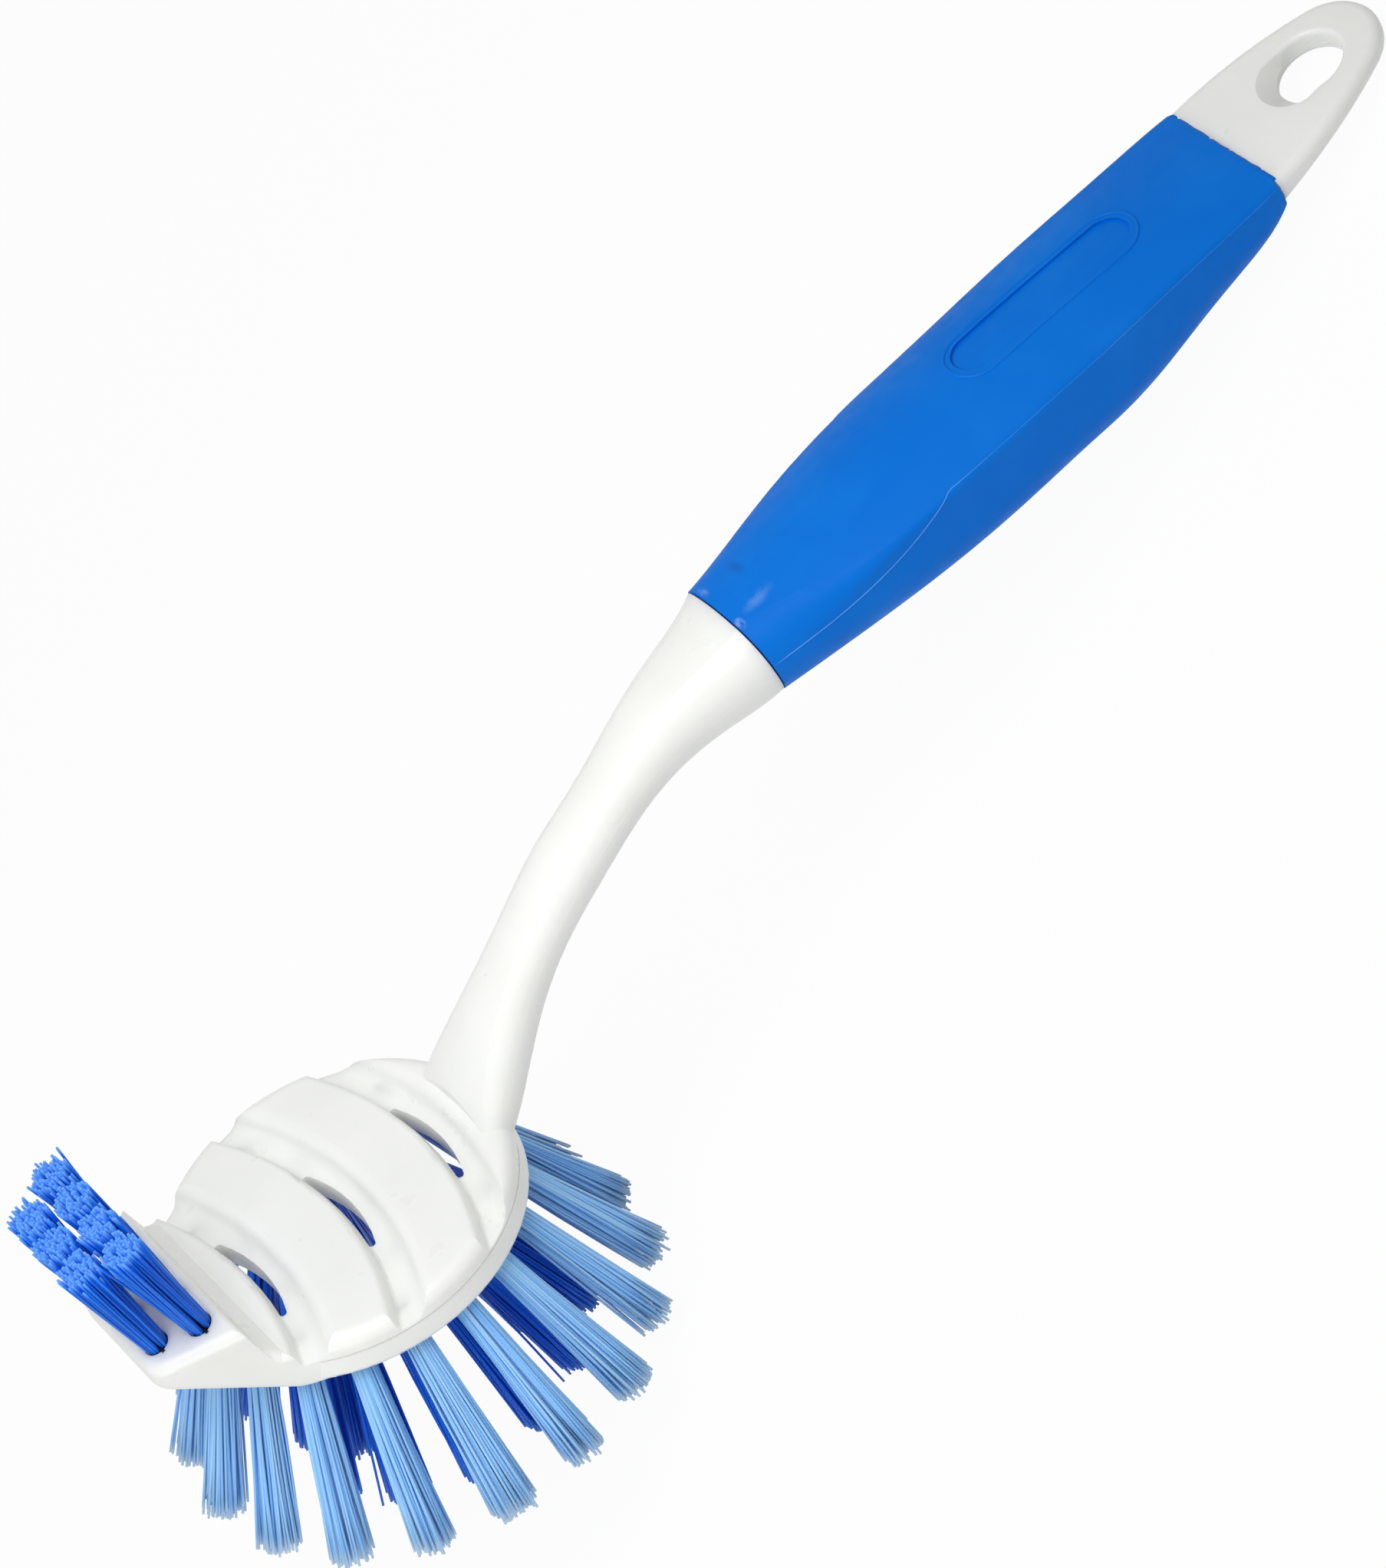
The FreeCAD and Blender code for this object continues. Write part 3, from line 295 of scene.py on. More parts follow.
@dataclass(frozen=True)
class OvermouldedRubber:
    """Blue thermoplastic rubber from a blasted mould: satin, deep in colour, with rubbed patches and patches
    of painted highlight and shade.
    """

    name: str = "thermoplastic_rubber_blue_moulded"
    colour: str = "#0071D9"
    marked_colour: str = "#0A7AE0"
    roughness: tuple[float, float] = (0.44, 0.58)
    specular: float = 0.1
    tone_mm: float = 18.0
    mark_mm: float = 3.0
    grain_mm: float = 0.4
    scuffs: tuple[Scuff, ...] = ()

    def make(self, handle: HandleFrame) -> bpy.types.Material:
        """Builds the material.

        Args:
            handle: the handle's axes, which place the rubbed patches.

        Returns:
            The material.
        """
        material, tree = blank_material(self.name)
        place = add_node(tree, "ShaderNodeTexCoord").outputs["Object"]
        tone = add_node(
            tree, "ShaderNodeTexNoise", {"Vector": place, "Scale": per_metre(self.tone_mm), "Detail": 5.0}
        )
        marked = add_node(
            tree, "ShaderNodeMapRange", {"Value": tone.outputs["Fac"], "From Min": 0.45, "From Max": 0.8}
        )
        colour = add_node(
            tree, "ShaderNodeMix",
            {"Factor": marked.outputs["Result"], 6: linear(self.colour), 7: linear(self.marked_colour)},
            data_type="RGBA",
        )
        # each patch mixes in its colour: rubbed wear, and at the grip's front painted highlight and painted
        # shade
        for wear_and_light_patch in self.scuffs:
            colour = add_node(
                tree, "ShaderNodeMix",
                {"Factor": wear_and_light_patch.share(tree, place, handle), 6: colour.outputs[2], 7: linear(wear_and_light_patch.colour)},
                data_type="RGBA",
            )
        rubbed = add_node(
            tree, "ShaderNodeTexNoise", {"Vector": place, "Scale": per_metre(self.mark_mm), "Detail": 6.0}
        )
        gloss = add_node(
            tree, "ShaderNodeMapRange",
            {"Value": rubbed.outputs["Fac"], "From Min": 0.3, "From Max": 0.7,
             "To Min": self.roughness[0], "To Max": self.roughness[1]},
        )
        # the blasted grain is finer than a pixel, so it is drawn at about three pixels
        grain = add_node(
            tree, "ShaderNodeTexNoise", {"Vector": place, "Scale": per_metre(self.grain_mm), "Detail": 2.0}
        )
        bump = add_node(
            tree, "ShaderNodeBump",
            {"Height": grain.outputs["Fac"], "Strength": 0.3, "Distance": 0.012 * MM},
        )
        surface = add_node(
            tree, "ShaderNodeBsdfPrincipled",
            {"Base Color": colour.outputs[2], "Roughness": gloss.outputs["Result"], "IOR": 1.5,
             "Specular IOR Level": self.specular, "Normal": bump.outputs["Normal"]},
        )
        add_node(tree, "ShaderNodeOutputMaterial", {"Surface": surface.outputs["BSDF"]})
        return material


@dataclass(frozen=True)
class DrawnNylon:
    """Drawn nylon filament: glossy along its length, each strand a shade apart, pale at the cut end."""

    name: str
    colour: str
    dark_colour: str
    cut_colour: str
    roughness: tuple[float, float] = (0.25, 0.4)
    specular: float = 0.18
    glow_through: float = 0.05

    def make(self) -> bpy.types.Material:
        """Builds the material; strand and along are the filaments' own attributes."""
        material, tree = blank_material(self.name)
        strand = add_node(tree, "ShaderNodeAttribute", attribute_name="strand").outputs["Fac"]
        along = add_node(tree, "ShaderNodeAttribute", attribute_name="along").outputs["Fac"]
        colour = add_node(
            tree, "ShaderNodeMix",
            {"Factor": strand, 6: linear(self.colour), 7: linear(self.dark_colour)}, data_type="RGBA",
        )
        cut = add_node(
            tree, "ShaderNodeMapRange", {"Value": along, "From Min": 0.93, "From Max": 1.0, "To Max": 0.8}
        )
        tipped = add_node(
            tree, "ShaderNodeMix",
            {"Factor": cut.outputs["Result"], 6: colour.outputs[2], 7: linear(self.cut_colour)},
            data_type="RGBA",
        )
        gloss = add_node(
            tree, "ShaderNodeMapRange",
            {"Value": strand, "To Min": self.roughness[0], "To Max": self.roughness[1]},
        )
        surface = add_node(
            tree, "ShaderNodeBsdfPrincipled",
            {"Base Color": tipped.outputs[2], "Roughness": gloss.outputs["Result"], "IOR": 1.53,
             "Specular IOR Level": self.specular, "Subsurface Weight": self.glow_through,
             "Subsurface Radius": (0.7, 0.85, 1.0), "Subsurface Scale": 0.3 * MM},
        )
        add_node(tree, "ShaderNodeOutputMaterial", {"Surface": surface.outputs["BSDF"]})
        return material


@dataclass(frozen=True)
class AnchorWire:
    """Flat steel wire, drawn and blackened: dull, with fine marks along its length."""

    name: str = "anchor_steel_blackened"
    colour: str = "#2B2C2E"
    worn_colour: str = "#5A5B5E"
    mark_mm: float = 0.3

    def make(self) -> bpy.types.Material:
        """Builds the material."""
        material, tree = blank_material(self.name)
        place = add_node(tree, "ShaderNodeTexCoord").outputs["Object"]
        marks = add_node(
            tree, "ShaderNodeTexNoise", {"Vector": place, "Scale": per_metre(self.mark_mm), "Detail": 3.0}
        )
        colour = add_node(
            tree, "ShaderNodeMix",
            {"Factor": marks.outputs["Fac"], 6: linear(self.colour), 7: linear(self.worn_colour)},
            data_type="RGBA",
        )
        bump = add_node(
            tree, "ShaderNodeBump", {"Height": marks.outputs["Fac"], "Strength": 0.3, "Distance": 0.01 * MM}
        )
        surface = add_node(
            tree, "ShaderNodeBsdfPrincipled",
            {"Base Color": colour.outputs[2], "Metallic": 1.0, "Roughness": 0.45,
             "Normal": bump.outputs["Normal"]},
        )
        add_node(tree, "ShaderNodeOutputMaterial", {"Surface": surface.outputs["BSDF"]})
        return material


LIGHT_NYLON = DrawnNylon("nylon_light_blue_drawn", "#A8D8FF", "#84C2FF", "#D6EBFF")
DARK_NYLON = DrawnNylon("nylon_dark_blue_drawn", "#1E7EFF", "#1560DE", "#4886E0")
ROYAL_NYLON = DrawnNylon("nylon_royal_blue_drawn", "#1C7AEE", "#0E5CD6", "#6CACF8")


class TuftKind(Enum):
    """The four sets of tufts: packed name, slot in the record and nylon."""

    OUTER = ("outer", "light_blue_nylon", LIGHT_NYLON)
    MIDDLE = ("middle", "dark_blue_nylon", DARK_NYLON)
    INNER = ("inner", "dark_blue_nylon", DARK_NYLON)
    LIP = ("lip", "royal_blue_nylon", ROYAL_NYLON)

    @property
    def stem(self) -> str:
        """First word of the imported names."""
        return self.value[0]

    @property
    def slot(self) -> str:
        """Material slot in the record."""
        return self.value[1]

    @property
    def nylon(self) -> DrawnNylon:
        """The finish of this set's filaments."""
        return self.value[2]

    def nodes(self) -> list[str]:
        """Packed names of this set's tufts, in order."""
        return sorted(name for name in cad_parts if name.startswith(f"{self.stem}_tuft_"))


@dataclass(frozen=True)
class TuftAxis:
    """Where a packed cone stands: its socket end, its way out, its length and its end radii."""

    root: np.ndarray
    way: np.ndarray
    length: float
    root_radius: float
    tip_radius: float

    @classmethod
    def of(cls, name: str) -> "TuftAxis":
        """Reads the axis off a packed cone: the line along which its vertices spread most.

        Args:
            name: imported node's name.

        Returns:
            The cone's axis, from its narrow end to its wide one.
        """
        end_slice = 0.2 * MM
        points = np.unique(np.round(vertices(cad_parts[name]), decimals=7), axis=0)
        centre = points.mean(axis=0)
        way = np.linalg.svd(points - centre, full_matrices=False)[2][0]
        along = (points - centre) @ way
        away = np.linalg.norm(points - centre - np.outer(along, way), axis=1)
        low, high = along.min(), along.max()
        low_radius = away[along < low + end_slice].max()
        high_radius = away[along > high - end_slice].max()
        if low_radius > high_radius:
            way, low, high = -way, -high, -low
            low_radius, high_radius = high_radius, low_radius
        return cls(centre + way * low, way, high - low, low_radius, high_radius)


@dataclass(frozen=True)
class HeadFrame(LocalFrame):
    """The head's own axes: origin at the centre of its underside, x to the handle, z up."""

    @classmethod
    def of_ring(cls, socket_depth_mm: float = 3.6) -> "HeadFrame":
        """Reads the frame off the outer ring, whose mouths circle the origin and whose ways sum to -z."""
        ring = [TuftAxis.of(name) for name in TuftKind.OUTER.nodes()]
        up = -np.mean([axis.way for axis in ring], axis=0)
        up /= np.linalg.norm(up)
        side = np.array([0.0, 1.0, 0.0])
        origin = np.mean([axis.root + axis.way * socket_depth_mm * MM for axis in ring], axis=0)
        return cls(origin, np.array([np.cross(side, up), side, up]))


def bead(path: np.ndarray, out: np.ndarray, radius: np.ndarray, sides: int) -> tuple[np.ndarray, list]:
    """Carries a round profile of changing radius along a path and closes its two ends.

    Round each path point stands a ring: point + r (cos t over + sin t outward), where over and
    outward are square to the path and outward leans to the given direction.

    Args:
        path: points, one row each.
        out: direction away from what carries the bead, one row or one for each point.
        radius: the profile's radius at each point.
        sides: points of the profile.

    Returns:
        Vertices and faces.
    """
    steps = len(path)
    ahead = np.gradient(path, axis=0)
    ahead /= np.linalg.norm(ahead, axis=1, keepdims=True)
    over = np.cross(ahead, out)
    over /= np.linalg.norm(over, axis=1, keepdims=True)
    outward = np.cross(over, ahead)
    turn = np.arange(sides) * 2 * math.pi / sides
    ring = np.cos(turn)[None, :, None] * over[:, None] + np.sin(turn)[None, :, None] * outward[:, None]
    points = path[:, None] + ring * radius[:, None, None]
    return points.reshape(-1, 3), tube_faces(steps, sides)


def tube_faces(steps: int, sides: int) -> list:
    """Faces of a row of rings, counterclockwise from outside, with both ends closed."""
    number = np.arange(steps * sides).reshape(steps, sides)
    following = np.roll(number, -1, axis=1)
    walls = np.stack([number[1:], following[1:], following[:-1], number[:-1]], axis=-1).reshape(-1, 4)
    return walls.tolist() + [number[0].tolist(), number[-1, ::-1].tolist()]


def ring_faces(steps: int, sides: int) -> list:
    """Faces of a closed row of rings, counterclockwise from outside."""
    number = np.arange(steps * sides).reshape(steps, sides)
    ahead = np.roll(number, -1, axis=0)
    walls = np.stack([ahead, np.roll(ahead, -1, axis=1), np.roll(number, -1, axis=1), number], axis=-1)
    return walls.reshape(-1, 4).tolist()


def taper(steps: int, run: int, least: float = 0.2) -> np.ndarray:
    """One along a row, falling to the least share over about the given run of steps at each end."""
    count = np.arange(steps)
    return np.minimum(1, np.minimum(count, count[::-1]) / run + least)


def make_piece(
    name: str, points: np.ndarray, faces: list, material: bpy.types.Material
) -> bpy.types.Object:
    """Makes a mesh piece that rides on the brush.

    Args:
        name: piece's name.
        points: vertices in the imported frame, one row each.
        faces: lists of vertex numbers, counterclockwise from outside.
        material: its finish.

    Returns:
        The new object.
    """
    mesh = bpy.data.meshes.new(name)
    mesh.from_pydata(points.tolist(), [], faces)
    mesh.polygons.foreach_set("use_smooth", np.ones(len(mesh.polygons), bool))
    mesh.materials.append(material)
    piece = bpy.data.objects.new(name, mesh)
    bpy.context.scene.collection.objects.link(piece)
    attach(piece, BODY)
    return piece


@dataclass(frozen=True)
class Tuft:
    """One tuft of folded filaments, in millimetres: two half bundles either side of the anchor."""

    kind: TuftKind
    node: str
    seed: int
    filaments: int = 132
    thickness: float = 0.44
    sides: int = 8
    rings: int = 5
    slit: float = 0.7
    spread_power: float = 1.15
    clumps: int = 8
    clump_reach: float = 0.9
    clump_pull: float = 0.16
    pull_range: tuple[float, float] = (0.3, 1.0)
    tip_scatter: float = 0.32
    length_shift: float = -0.1
    length_scatter: float = 0.42
    length_limits: tuple[float, float] = (-1.2, 0.9)
    short_share: float = 0.07
    short_range: tuple[float, float] = (1.0, 3.5)
    stray_share: float = 0.02
    stray_reach: float = 1.5
    bow: float = 0.16
    start_turn: float = 2.0
    thickness_range: tuple[float, float] = (0.9, 1.08)

    def offsets(self, axis: TuftAxis, rng: np.random.Generator) -> tuple[np.ndarray, np.ndarray]:
        """Places of the filaments across the tuft, at the socket's bottom and at the tip.

        A sunflower spiral packs the round socket: radius = R sqrt((i + 1/2) / N), turn = i times the
        golden turn. The anchor's slit parts it in two. At the tip the same pattern is wider, drawn
        together in clumps, and scattered; a few strays stand out of it.

        Args:
            axis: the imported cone.
            rng: source of the scatter.

        Returns:
            Root and tip offsets in metres, one row of two numbers for each filament.
        """
        count = np.arange(self.filaments)
        radius = np.sqrt((count + 0.5) / self.filaments)
        turn = count * GOLDEN_TURN + rng.uniform(0, 2 * math.pi)
        spiral = np.stack([radius * np.cos(turn), radius * np.sin(turn)], axis=1)
        thick = self.thickness * MM
        root = spiral * (axis.root_radius - 0.5 * thick)
        gap = 0.5 * self.slit * MM
        root[:, 1] = np.sign(root[:, 1]) * (gap + np.abs(root[:, 1]) * (1 - gap / axis.root_radius))
        nest = np.sqrt((np.arange(self.clumps) + 0.5) / self.clumps)
        nest_turn = np.arange(self.clumps) * GOLDEN_TURN + rng.uniform(0, 2 * math.pi)
        centres = self.clump_reach * np.stack([nest * np.cos(nest_turn), nest * np.sin(nest_turn)], axis=1)
        nearest = np.argmin(np.linalg.norm(spiral[:, None] - centres[None], axis=2), axis=1)
        loose = rng.uniform(*self.pull_range, (self.filaments, 1))
        pulled = spiral + (centres[nearest] - spiral) * self.clump_pull * loose
        tip = pulled * (axis.tip_radius - 0.5 * thick)
        tip += rng.normal(0, self.tip_scatter * MM, tip.shape)
        stray = rng.random(self.filaments) < self.stray_share
        tip += np.where(stray[:, None], rng.normal(0, self.stray_reach * MM, tip.shape), 0.0)
        return root, tip

    def lengths(self, axis: TuftAxis, rng: np.random.Generator) -> np.ndarray:
        """Lengths of the filaments: the trimmed length, scattered, with a few short ones."""
        spread = rng.normal(self.length_shift, self.length_scatter, self.filaments)
        short = rng.random(self.filaments) < self.short_share
        missing = np.where(short, rng.uniform(*self.short_range, self.filaments), 0.0)
        return axis.length + (np.clip(spread, *self.length_limits) - missing) * MM

    def surface(self, axis: TuftAxis, across: np.ndarray) -> tuple[np.ndarray, list, np.ndarray, np.ndarray]:
        """Works out the filaments' tubes.

        Filament i at share s of its length stands at root + way L_i s + a_i + (b_i - a_i) s^p + bow
        sin(pi s), where a_i and b_i are its root and tip offsets; its skin is a ring of radius r there.
        No filament is longer than its way down to the floor.

        Args:
            axis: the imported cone.
            across: direction along the anchor.

        Returns:
            Vertices, faces, and each vertex's strand number and share along its filament.
        """
        rng = np.random.default_rng(self.seed)
        root, tip = self.offsets(axis, rng)
        length = self.lengths(axis, rng)
        bow = rng.normal(0, self.bow * MM, tip.shape)
        plane = np.stack([across, np.cross(axis.way, across)])
        share = np.linspace(0, 1, self.rings)
        bend = root[:, None] + (tip - root)[:, None] * (share ** self.spread_power)[None, :, None]
        bend = bend + bow[:, None] * np.sin(math.pi * share)[None, :, None]
        line = axis.root + bend @ plane
        half = 0.5 * self.thickness * MM
        floor_reach = (axis.root[2] + (tip @ plane)[:, 2] - half) / np.maximum(-axis.way[2], LEAST_FALL)
        length = np.where(axis.way[2] < 0, np.minimum(length, floor_reach), length)
        line = line + (length[:, None] * share[None])[..., None] * axis.way
        start = rng.uniform(0, self.start_turn, (self.filaments, 1))
        turn = np.arange(self.sides) * 2 * math.pi / self.sides + start
        thick = half * rng.uniform(*self.thickness_range, (self.filaments, 1))
        ring = np.stack([thick * np.cos(turn), thick * np.sin(turn)], axis=2) @ plane
        points = line[:, :, None] + ring[:, None]
        number = np.arange(points[..., 0].size).reshape(points.shape[:3])
        following = np.roll(number, -1, axis=2)
        walls = np.stack([number[:, :-1], following[:, :-1], following[:, 1:], number[:, 1:]], axis=-1)
        faces = walls.reshape(-1, 4).tolist() + number[:, -1].tolist() + number[:, 0, ::-1].tolist()
        strand = np.broadcast_to(rng.random(self.filaments)[:, None, None], points.shape[:3])
        along = np.broadcast_to(share[None, :, None], points.shape[:3])
        return points.reshape(-1, 3), faces, strand.ravel(), along.ravel()

    def build(self, head: HeadFrame, material: bpy.types.Material) -> bpy.types.Object:
        """Makes the tuft's piece in place of its packed cone.

        Args:
            head: the head's frame, whose up axis gives the anchor's direction.
            material: the nylon.

        Returns:
            The piece.
        """
        axis = TuftAxis.of(self.node)
        across = np.cross(head.axes[2], axis.way)
        across /= np.linalg.norm(across)
        points, faces, strand, along = self.surface(axis, across)
        piece = make_piece(f"{self.node}_filaments", points, faces, material)
        walls = self.filaments * self.sides * (self.rings - 1)
        smooth = np.arange(len(faces)) < walls
        piece.data.polygons.foreach_set("use_smooth", smooth)
        for label, values in (("strand", strand), ("along", along)):
            attribute = piece.data.attributes.new(label, "FLOAT", "POINT")
            attribute.data.foreach_set("value", values.astype(np.float32))
        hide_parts(self.node)
        return piece


@dataclass(frozen=True)
class BrushBody:
    """The white moulding and the anchors in it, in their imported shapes, and the mould line round the rim.

    Sizes are millimetres; angles are degrees round the head from the handle's side.
    """

    plastic: MouldedPolypropylene = MouldedPolypropylene()
    wire: AnchorWire = AnchorWire()
    line_radius: float = 29.69
    line_height: float = 4.1
    line_half: float = 0.07
    line_from: float = 24.0
    line_to: float = 131.0
    line_steps: int = 140
    line_sides: int = 6
    line_taper: int = 8

    def dress(self, head: HeadFrame) -> list[bpy.types.Object]:
        """Gives the moulding and the anchors their finishes and makes the mould line.

        Args:
            head: the head's frame.

        Returns:
            The dressed nodes and the new pieces.
        """
        plastic, wire = self.plastic.make(), self.wire.make()
        dressed = {"brush_body": plastic}
        dressed.update({f"{kind.stem}_anchors": wire for kind in TuftKind})
        nodes = [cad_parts[name] for name in dressed]
        for node, material in zip(nodes, dressed.values()):
            node.data.materials.clear()
            node.data.materials.append(material)
        return nodes + [self.mould_line(side, head, plastic) for side in NEAR_AND_FAR]

    def mould_line(self, side: float, head: HeadFrame, material: bpy.types.Material) -> bpy.types.Object:
        """Makes the fine line that the mould's halves leave round the rim: a bead on a circle.

        The bead's point at turn a is (R cos a, side R sin a, height) in the head's frame.

        Args:
            side: -1 for the near side, 1 for the far one.
            head: the head's frame.
            material: the white plastic.

        Returns:
            The piece.
        """
        turn = np.radians(np.linspace(self.line_from, self.line_to, self.line_steps))
        round_way = np.stack([np.cos(turn), side * np.sin(turn), np.zeros_like(turn)], axis=1)
        path = head.point(round_way * self.line_radius + np.array([0, 0, self.line_height]))
        radius = self.line_half * MM * taper(self.line_steps, self.line_taper)
        points, faces = bead(path, head.way(round_way), radius, self.line_sides)
        name = "rim_mould_line_near" if side < 0 else "rim_mould_line_far"
        return make_piece(name, points, faces, material)


@dataclass(frozen=True)
class SoftGrip:
    """The overmoulded grip, the flash on its parting lines and rear edge, and its label's border.

    Sizes are millimetres. Along the handle a place is its distance from the seam, and up is square
    to the handle's axis. The from values are heights and widths at which rays to the skin start.
    """

    rubber: OvermouldedRubber = OvermouldedRubber(
        scuffs=(
            # partly rubbed marks and partly painted highlight: the near side of the grip's front lighter
            Scuff((5.6, -4.8, 8.3), (4.0, 1.9, 3.0), "#6FA0E8", 0.5, 2.4),
            # painted shade: the far side of the grip's front darker
            Scuff((7.2, 2.6, 8.6), (1.5, 4.4, 3.0), "#0A55B4", 0.5, 2.8),
            # painted highlight: the near end of the grip's front edge lighter, where the edge catches the
            # light
            Scuff((1.0, -6.0, 7.7), (1.0, 1.4, 3.0), "#A9C4F0", 0.7, 1.0),
            Scuff((1.2, 4.4, 8.1), (0.8, 2.6, 3.0), "#7FA6E6", 0.6, 1.2),
        )
    )
    flash: OvermouldedRubber = OvermouldedRubber(
        "thermoplastic_rubber_flash", "#4F93EA", "#6FA8EE", (0.35, 0.5)
    )
    seam: tuple[float, float, float] = (98.5, 0.0, 48.4)
    pitch: float = 7.65
    length: float = 107.5
    line_low: float = 1.35
    line_rise: float = 4.9
    line_turn: float = 37.5
    line_power: float = 3.2
    crease_fall: float = 0.023
    ridge_half: float = 0.11
    ridge_margin: float = 0.6
    ridge_swell: tuple[float, float] = (0.8, 0.4)
    ridge_smooth: int = 5
    ridge_fade: float = 10.0
    ridge_rear_share: float = 0.3
    ridge_taper: int = 4
    steps: int = 120
    sides: int = 6
    edge_half: float = 13.5
    edge_start: float = 107.4
    edge_end: float = 108.5
    edge_wander: float = 0.1
    edge_rates: tuple[float, float, float] = (0.35, 0.9, 1.7)
    edge_nicks: int = 4
    nick_span: float = 0.9
    nick_depths: tuple[float, float] = (0.3, 0.8)
    nick_half: float = 0.28
    nick_cut: float = 0.4
    edge_rows: int = 5
    edge_lift: float = 0.1
    edge_crown: tuple[float, float] = (0.15, 0.85)
    label_start: float = 53.0
    label_length: float = 35.5
    label_half: float = 4.2
    border_gap: float = 1.2
    border_half: float = 0.4
    border_sunk: float = 0.12
    border_steps: int = 260
    from_side: float = 30.0
    from_above: float = 25.0
    from_over_edge: float = 12.0
    edge_margin: float = 2.0

    def handle_frame(self, head: HeadFrame) -> HandleFrame:
        """The handle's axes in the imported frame."""
        turn = math.radians(self.pitch)
        run, up = (math.cos(turn), 0, math.sin(turn)), (-math.sin(turn), 0, math.cos(turn))
        axes = np.array([head.way(run), head.way((0, 1, 0)), head.way(up)])
        return HandleFrame(head.point(self.seam), axes)

    def ridge_places(self) -> np.ndarray:
        """Distances along the handle at which a parting line is drawn."""
        return np.linspace(self.ridge_margin, self.length - self.ridge_margin, self.steps)

    def parting_line(self, side: float, handle: HandleFrame) -> np.ndarray:
        """Points of a parting line on the grip's skin.

        Its height over the handle axis is low + rise (x / turn)^p from the seam to the turn, where it
        meets the crease, and falls with the crease from there. Each point is cast on the skin from the side.

        Args:
            side: -1 for the near side, 1 for the far one.
            handle: the handle's axes.

        Returns:
            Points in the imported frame, one row each.
        """
        along = self.ridge_places()
        rise = (np.minimum(along, self.line_turn) / self.line_turn) ** self.line_power
        rising = self.line_low + self.line_rise * rise
        height = rising - self.crease_fall * np.maximum(along - self.line_turn, 0)
        starts = handle.point(np.stack([along, np.full_like(along, self.from_side * side), height], axis=1))
        return cast(starts, -side * handle.axes[1], triangles(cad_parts["grip_sleeve"]))

    def ridge(self, side: float, handle: HandleFrame, material: bpy.types.Material) -> bpy.types.Object:
        """Makes the thin ridge of flash on a parting line: a small round profile, finer past the line's turn.

        Args:
            side: -1 for the near side, 1 for the far one.
            handle: the handle's axes.
            material: the flash's finish.

        Returns:
            The piece.
        """
        path = self.parting_line(side, handle)
        rng = np.random.default_rng(SEED)
        window = np.ones(self.ridge_smooth) / self.ridge_smooth
        least, more = self.ridge_swell
        swell = least + more * np.convolve(rng.random(self.steps), window, "same")
        past = np.clip((self.ridge_places() - self.line_turn) / self.ridge_fade, 0, 1)
        finer = 1 - past * (1 - self.ridge_rear_share)
        radius = self.ridge_half * MM * swell * finer * taper(self.steps, self.ridge_taper)
        points, faces = bead(path, side * handle.axes[1], radius, self.sides)
        name = "grip_parting_ridge_near" if side < 0 else "grip_parting_ridge_far"
        return make_piece(name, points, faces, material)

    def rear_edge(self, handle: HandleFrame, material: bpy.types.Material) -> bpy.types.Object:
        """Makes the feathered edge that the rubber leaves on the loop: a thin strip over the rear seam.

        Its inner border lies on the grip and its outer border on the loop, at end + wander times the mean
        of three sines, less a few nicks. Between them its top is lifted by h (c + d sin(pi s)) over the
        line from border to border, where c and d are the crown, and its foot is sunk by the same height.

        Args:
            handle: the handle's axes.
            material: the rubber.

        Returns:
            The piece.
        """
        rng = np.random.default_rng(SEED + 1)
        across = np.linspace(-self.edge_half, self.edge_half, self.steps)
        count = len(self.edge_rates)
        phases = rng.uniform(0, 2 * math.pi, count)
        wave = sum(np.sin(across * rate + phase) / count for rate, phase in zip(self.edge_rates, phases))
        spots = rng.uniform(-self.nick_span, self.nick_span, self.edge_nicks) * self.edge_half
        depths = rng.uniform(*self.nick_depths, self.edge_nicks)
        nicks = (depths * np.exp(-((across[:, None] - spots) / self.nick_half) ** 2)).sum(axis=1)
        outer = self.edge_end + self.edge_wander * wave - self.nick_cut * nicks
        height = np.full_like(across, self.from_over_edge)
        borders = []
        for along, node in ((np.full_like(across, self.edge_start), "grip_sleeve"), (outer, "brush_body")):
            starts = handle.point(np.stack([along, across, height], axis=1))
            soup = triangles(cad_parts[node])
            low = starts.min(axis=0) - self.from_over_edge * MM
            high = starts.max(axis=0) + self.edge_margin * MM
            near = ((soup.max(axis=1) > low) & (soup.min(axis=1) < high)).all(axis=1)
            borders.append(cast(starts, -handle.axes[2], soup[near]))
        share = np.linspace(0, 1, self.edge_rows)
        least, more = self.edge_crown
        lift = self.edge_lift * MM * (least + more * np.sin(math.pi * share))
        span = borders[0][:, None] + (borders[1] - borders[0])[:, None] * share[None, :, None]
        top = span + lift[None, :, None] * handle.axes[2]
        foot = span[:, ::-1] - lift[None, ::-1, None] * handle.axes[2]
        points = np.concatenate([top, foot], axis=1)
        faces = tube_faces(self.steps, 2 * self.edge_rows)
        return make_piece("grip_rear_edge", points.reshape(-1, 3), faces, material)

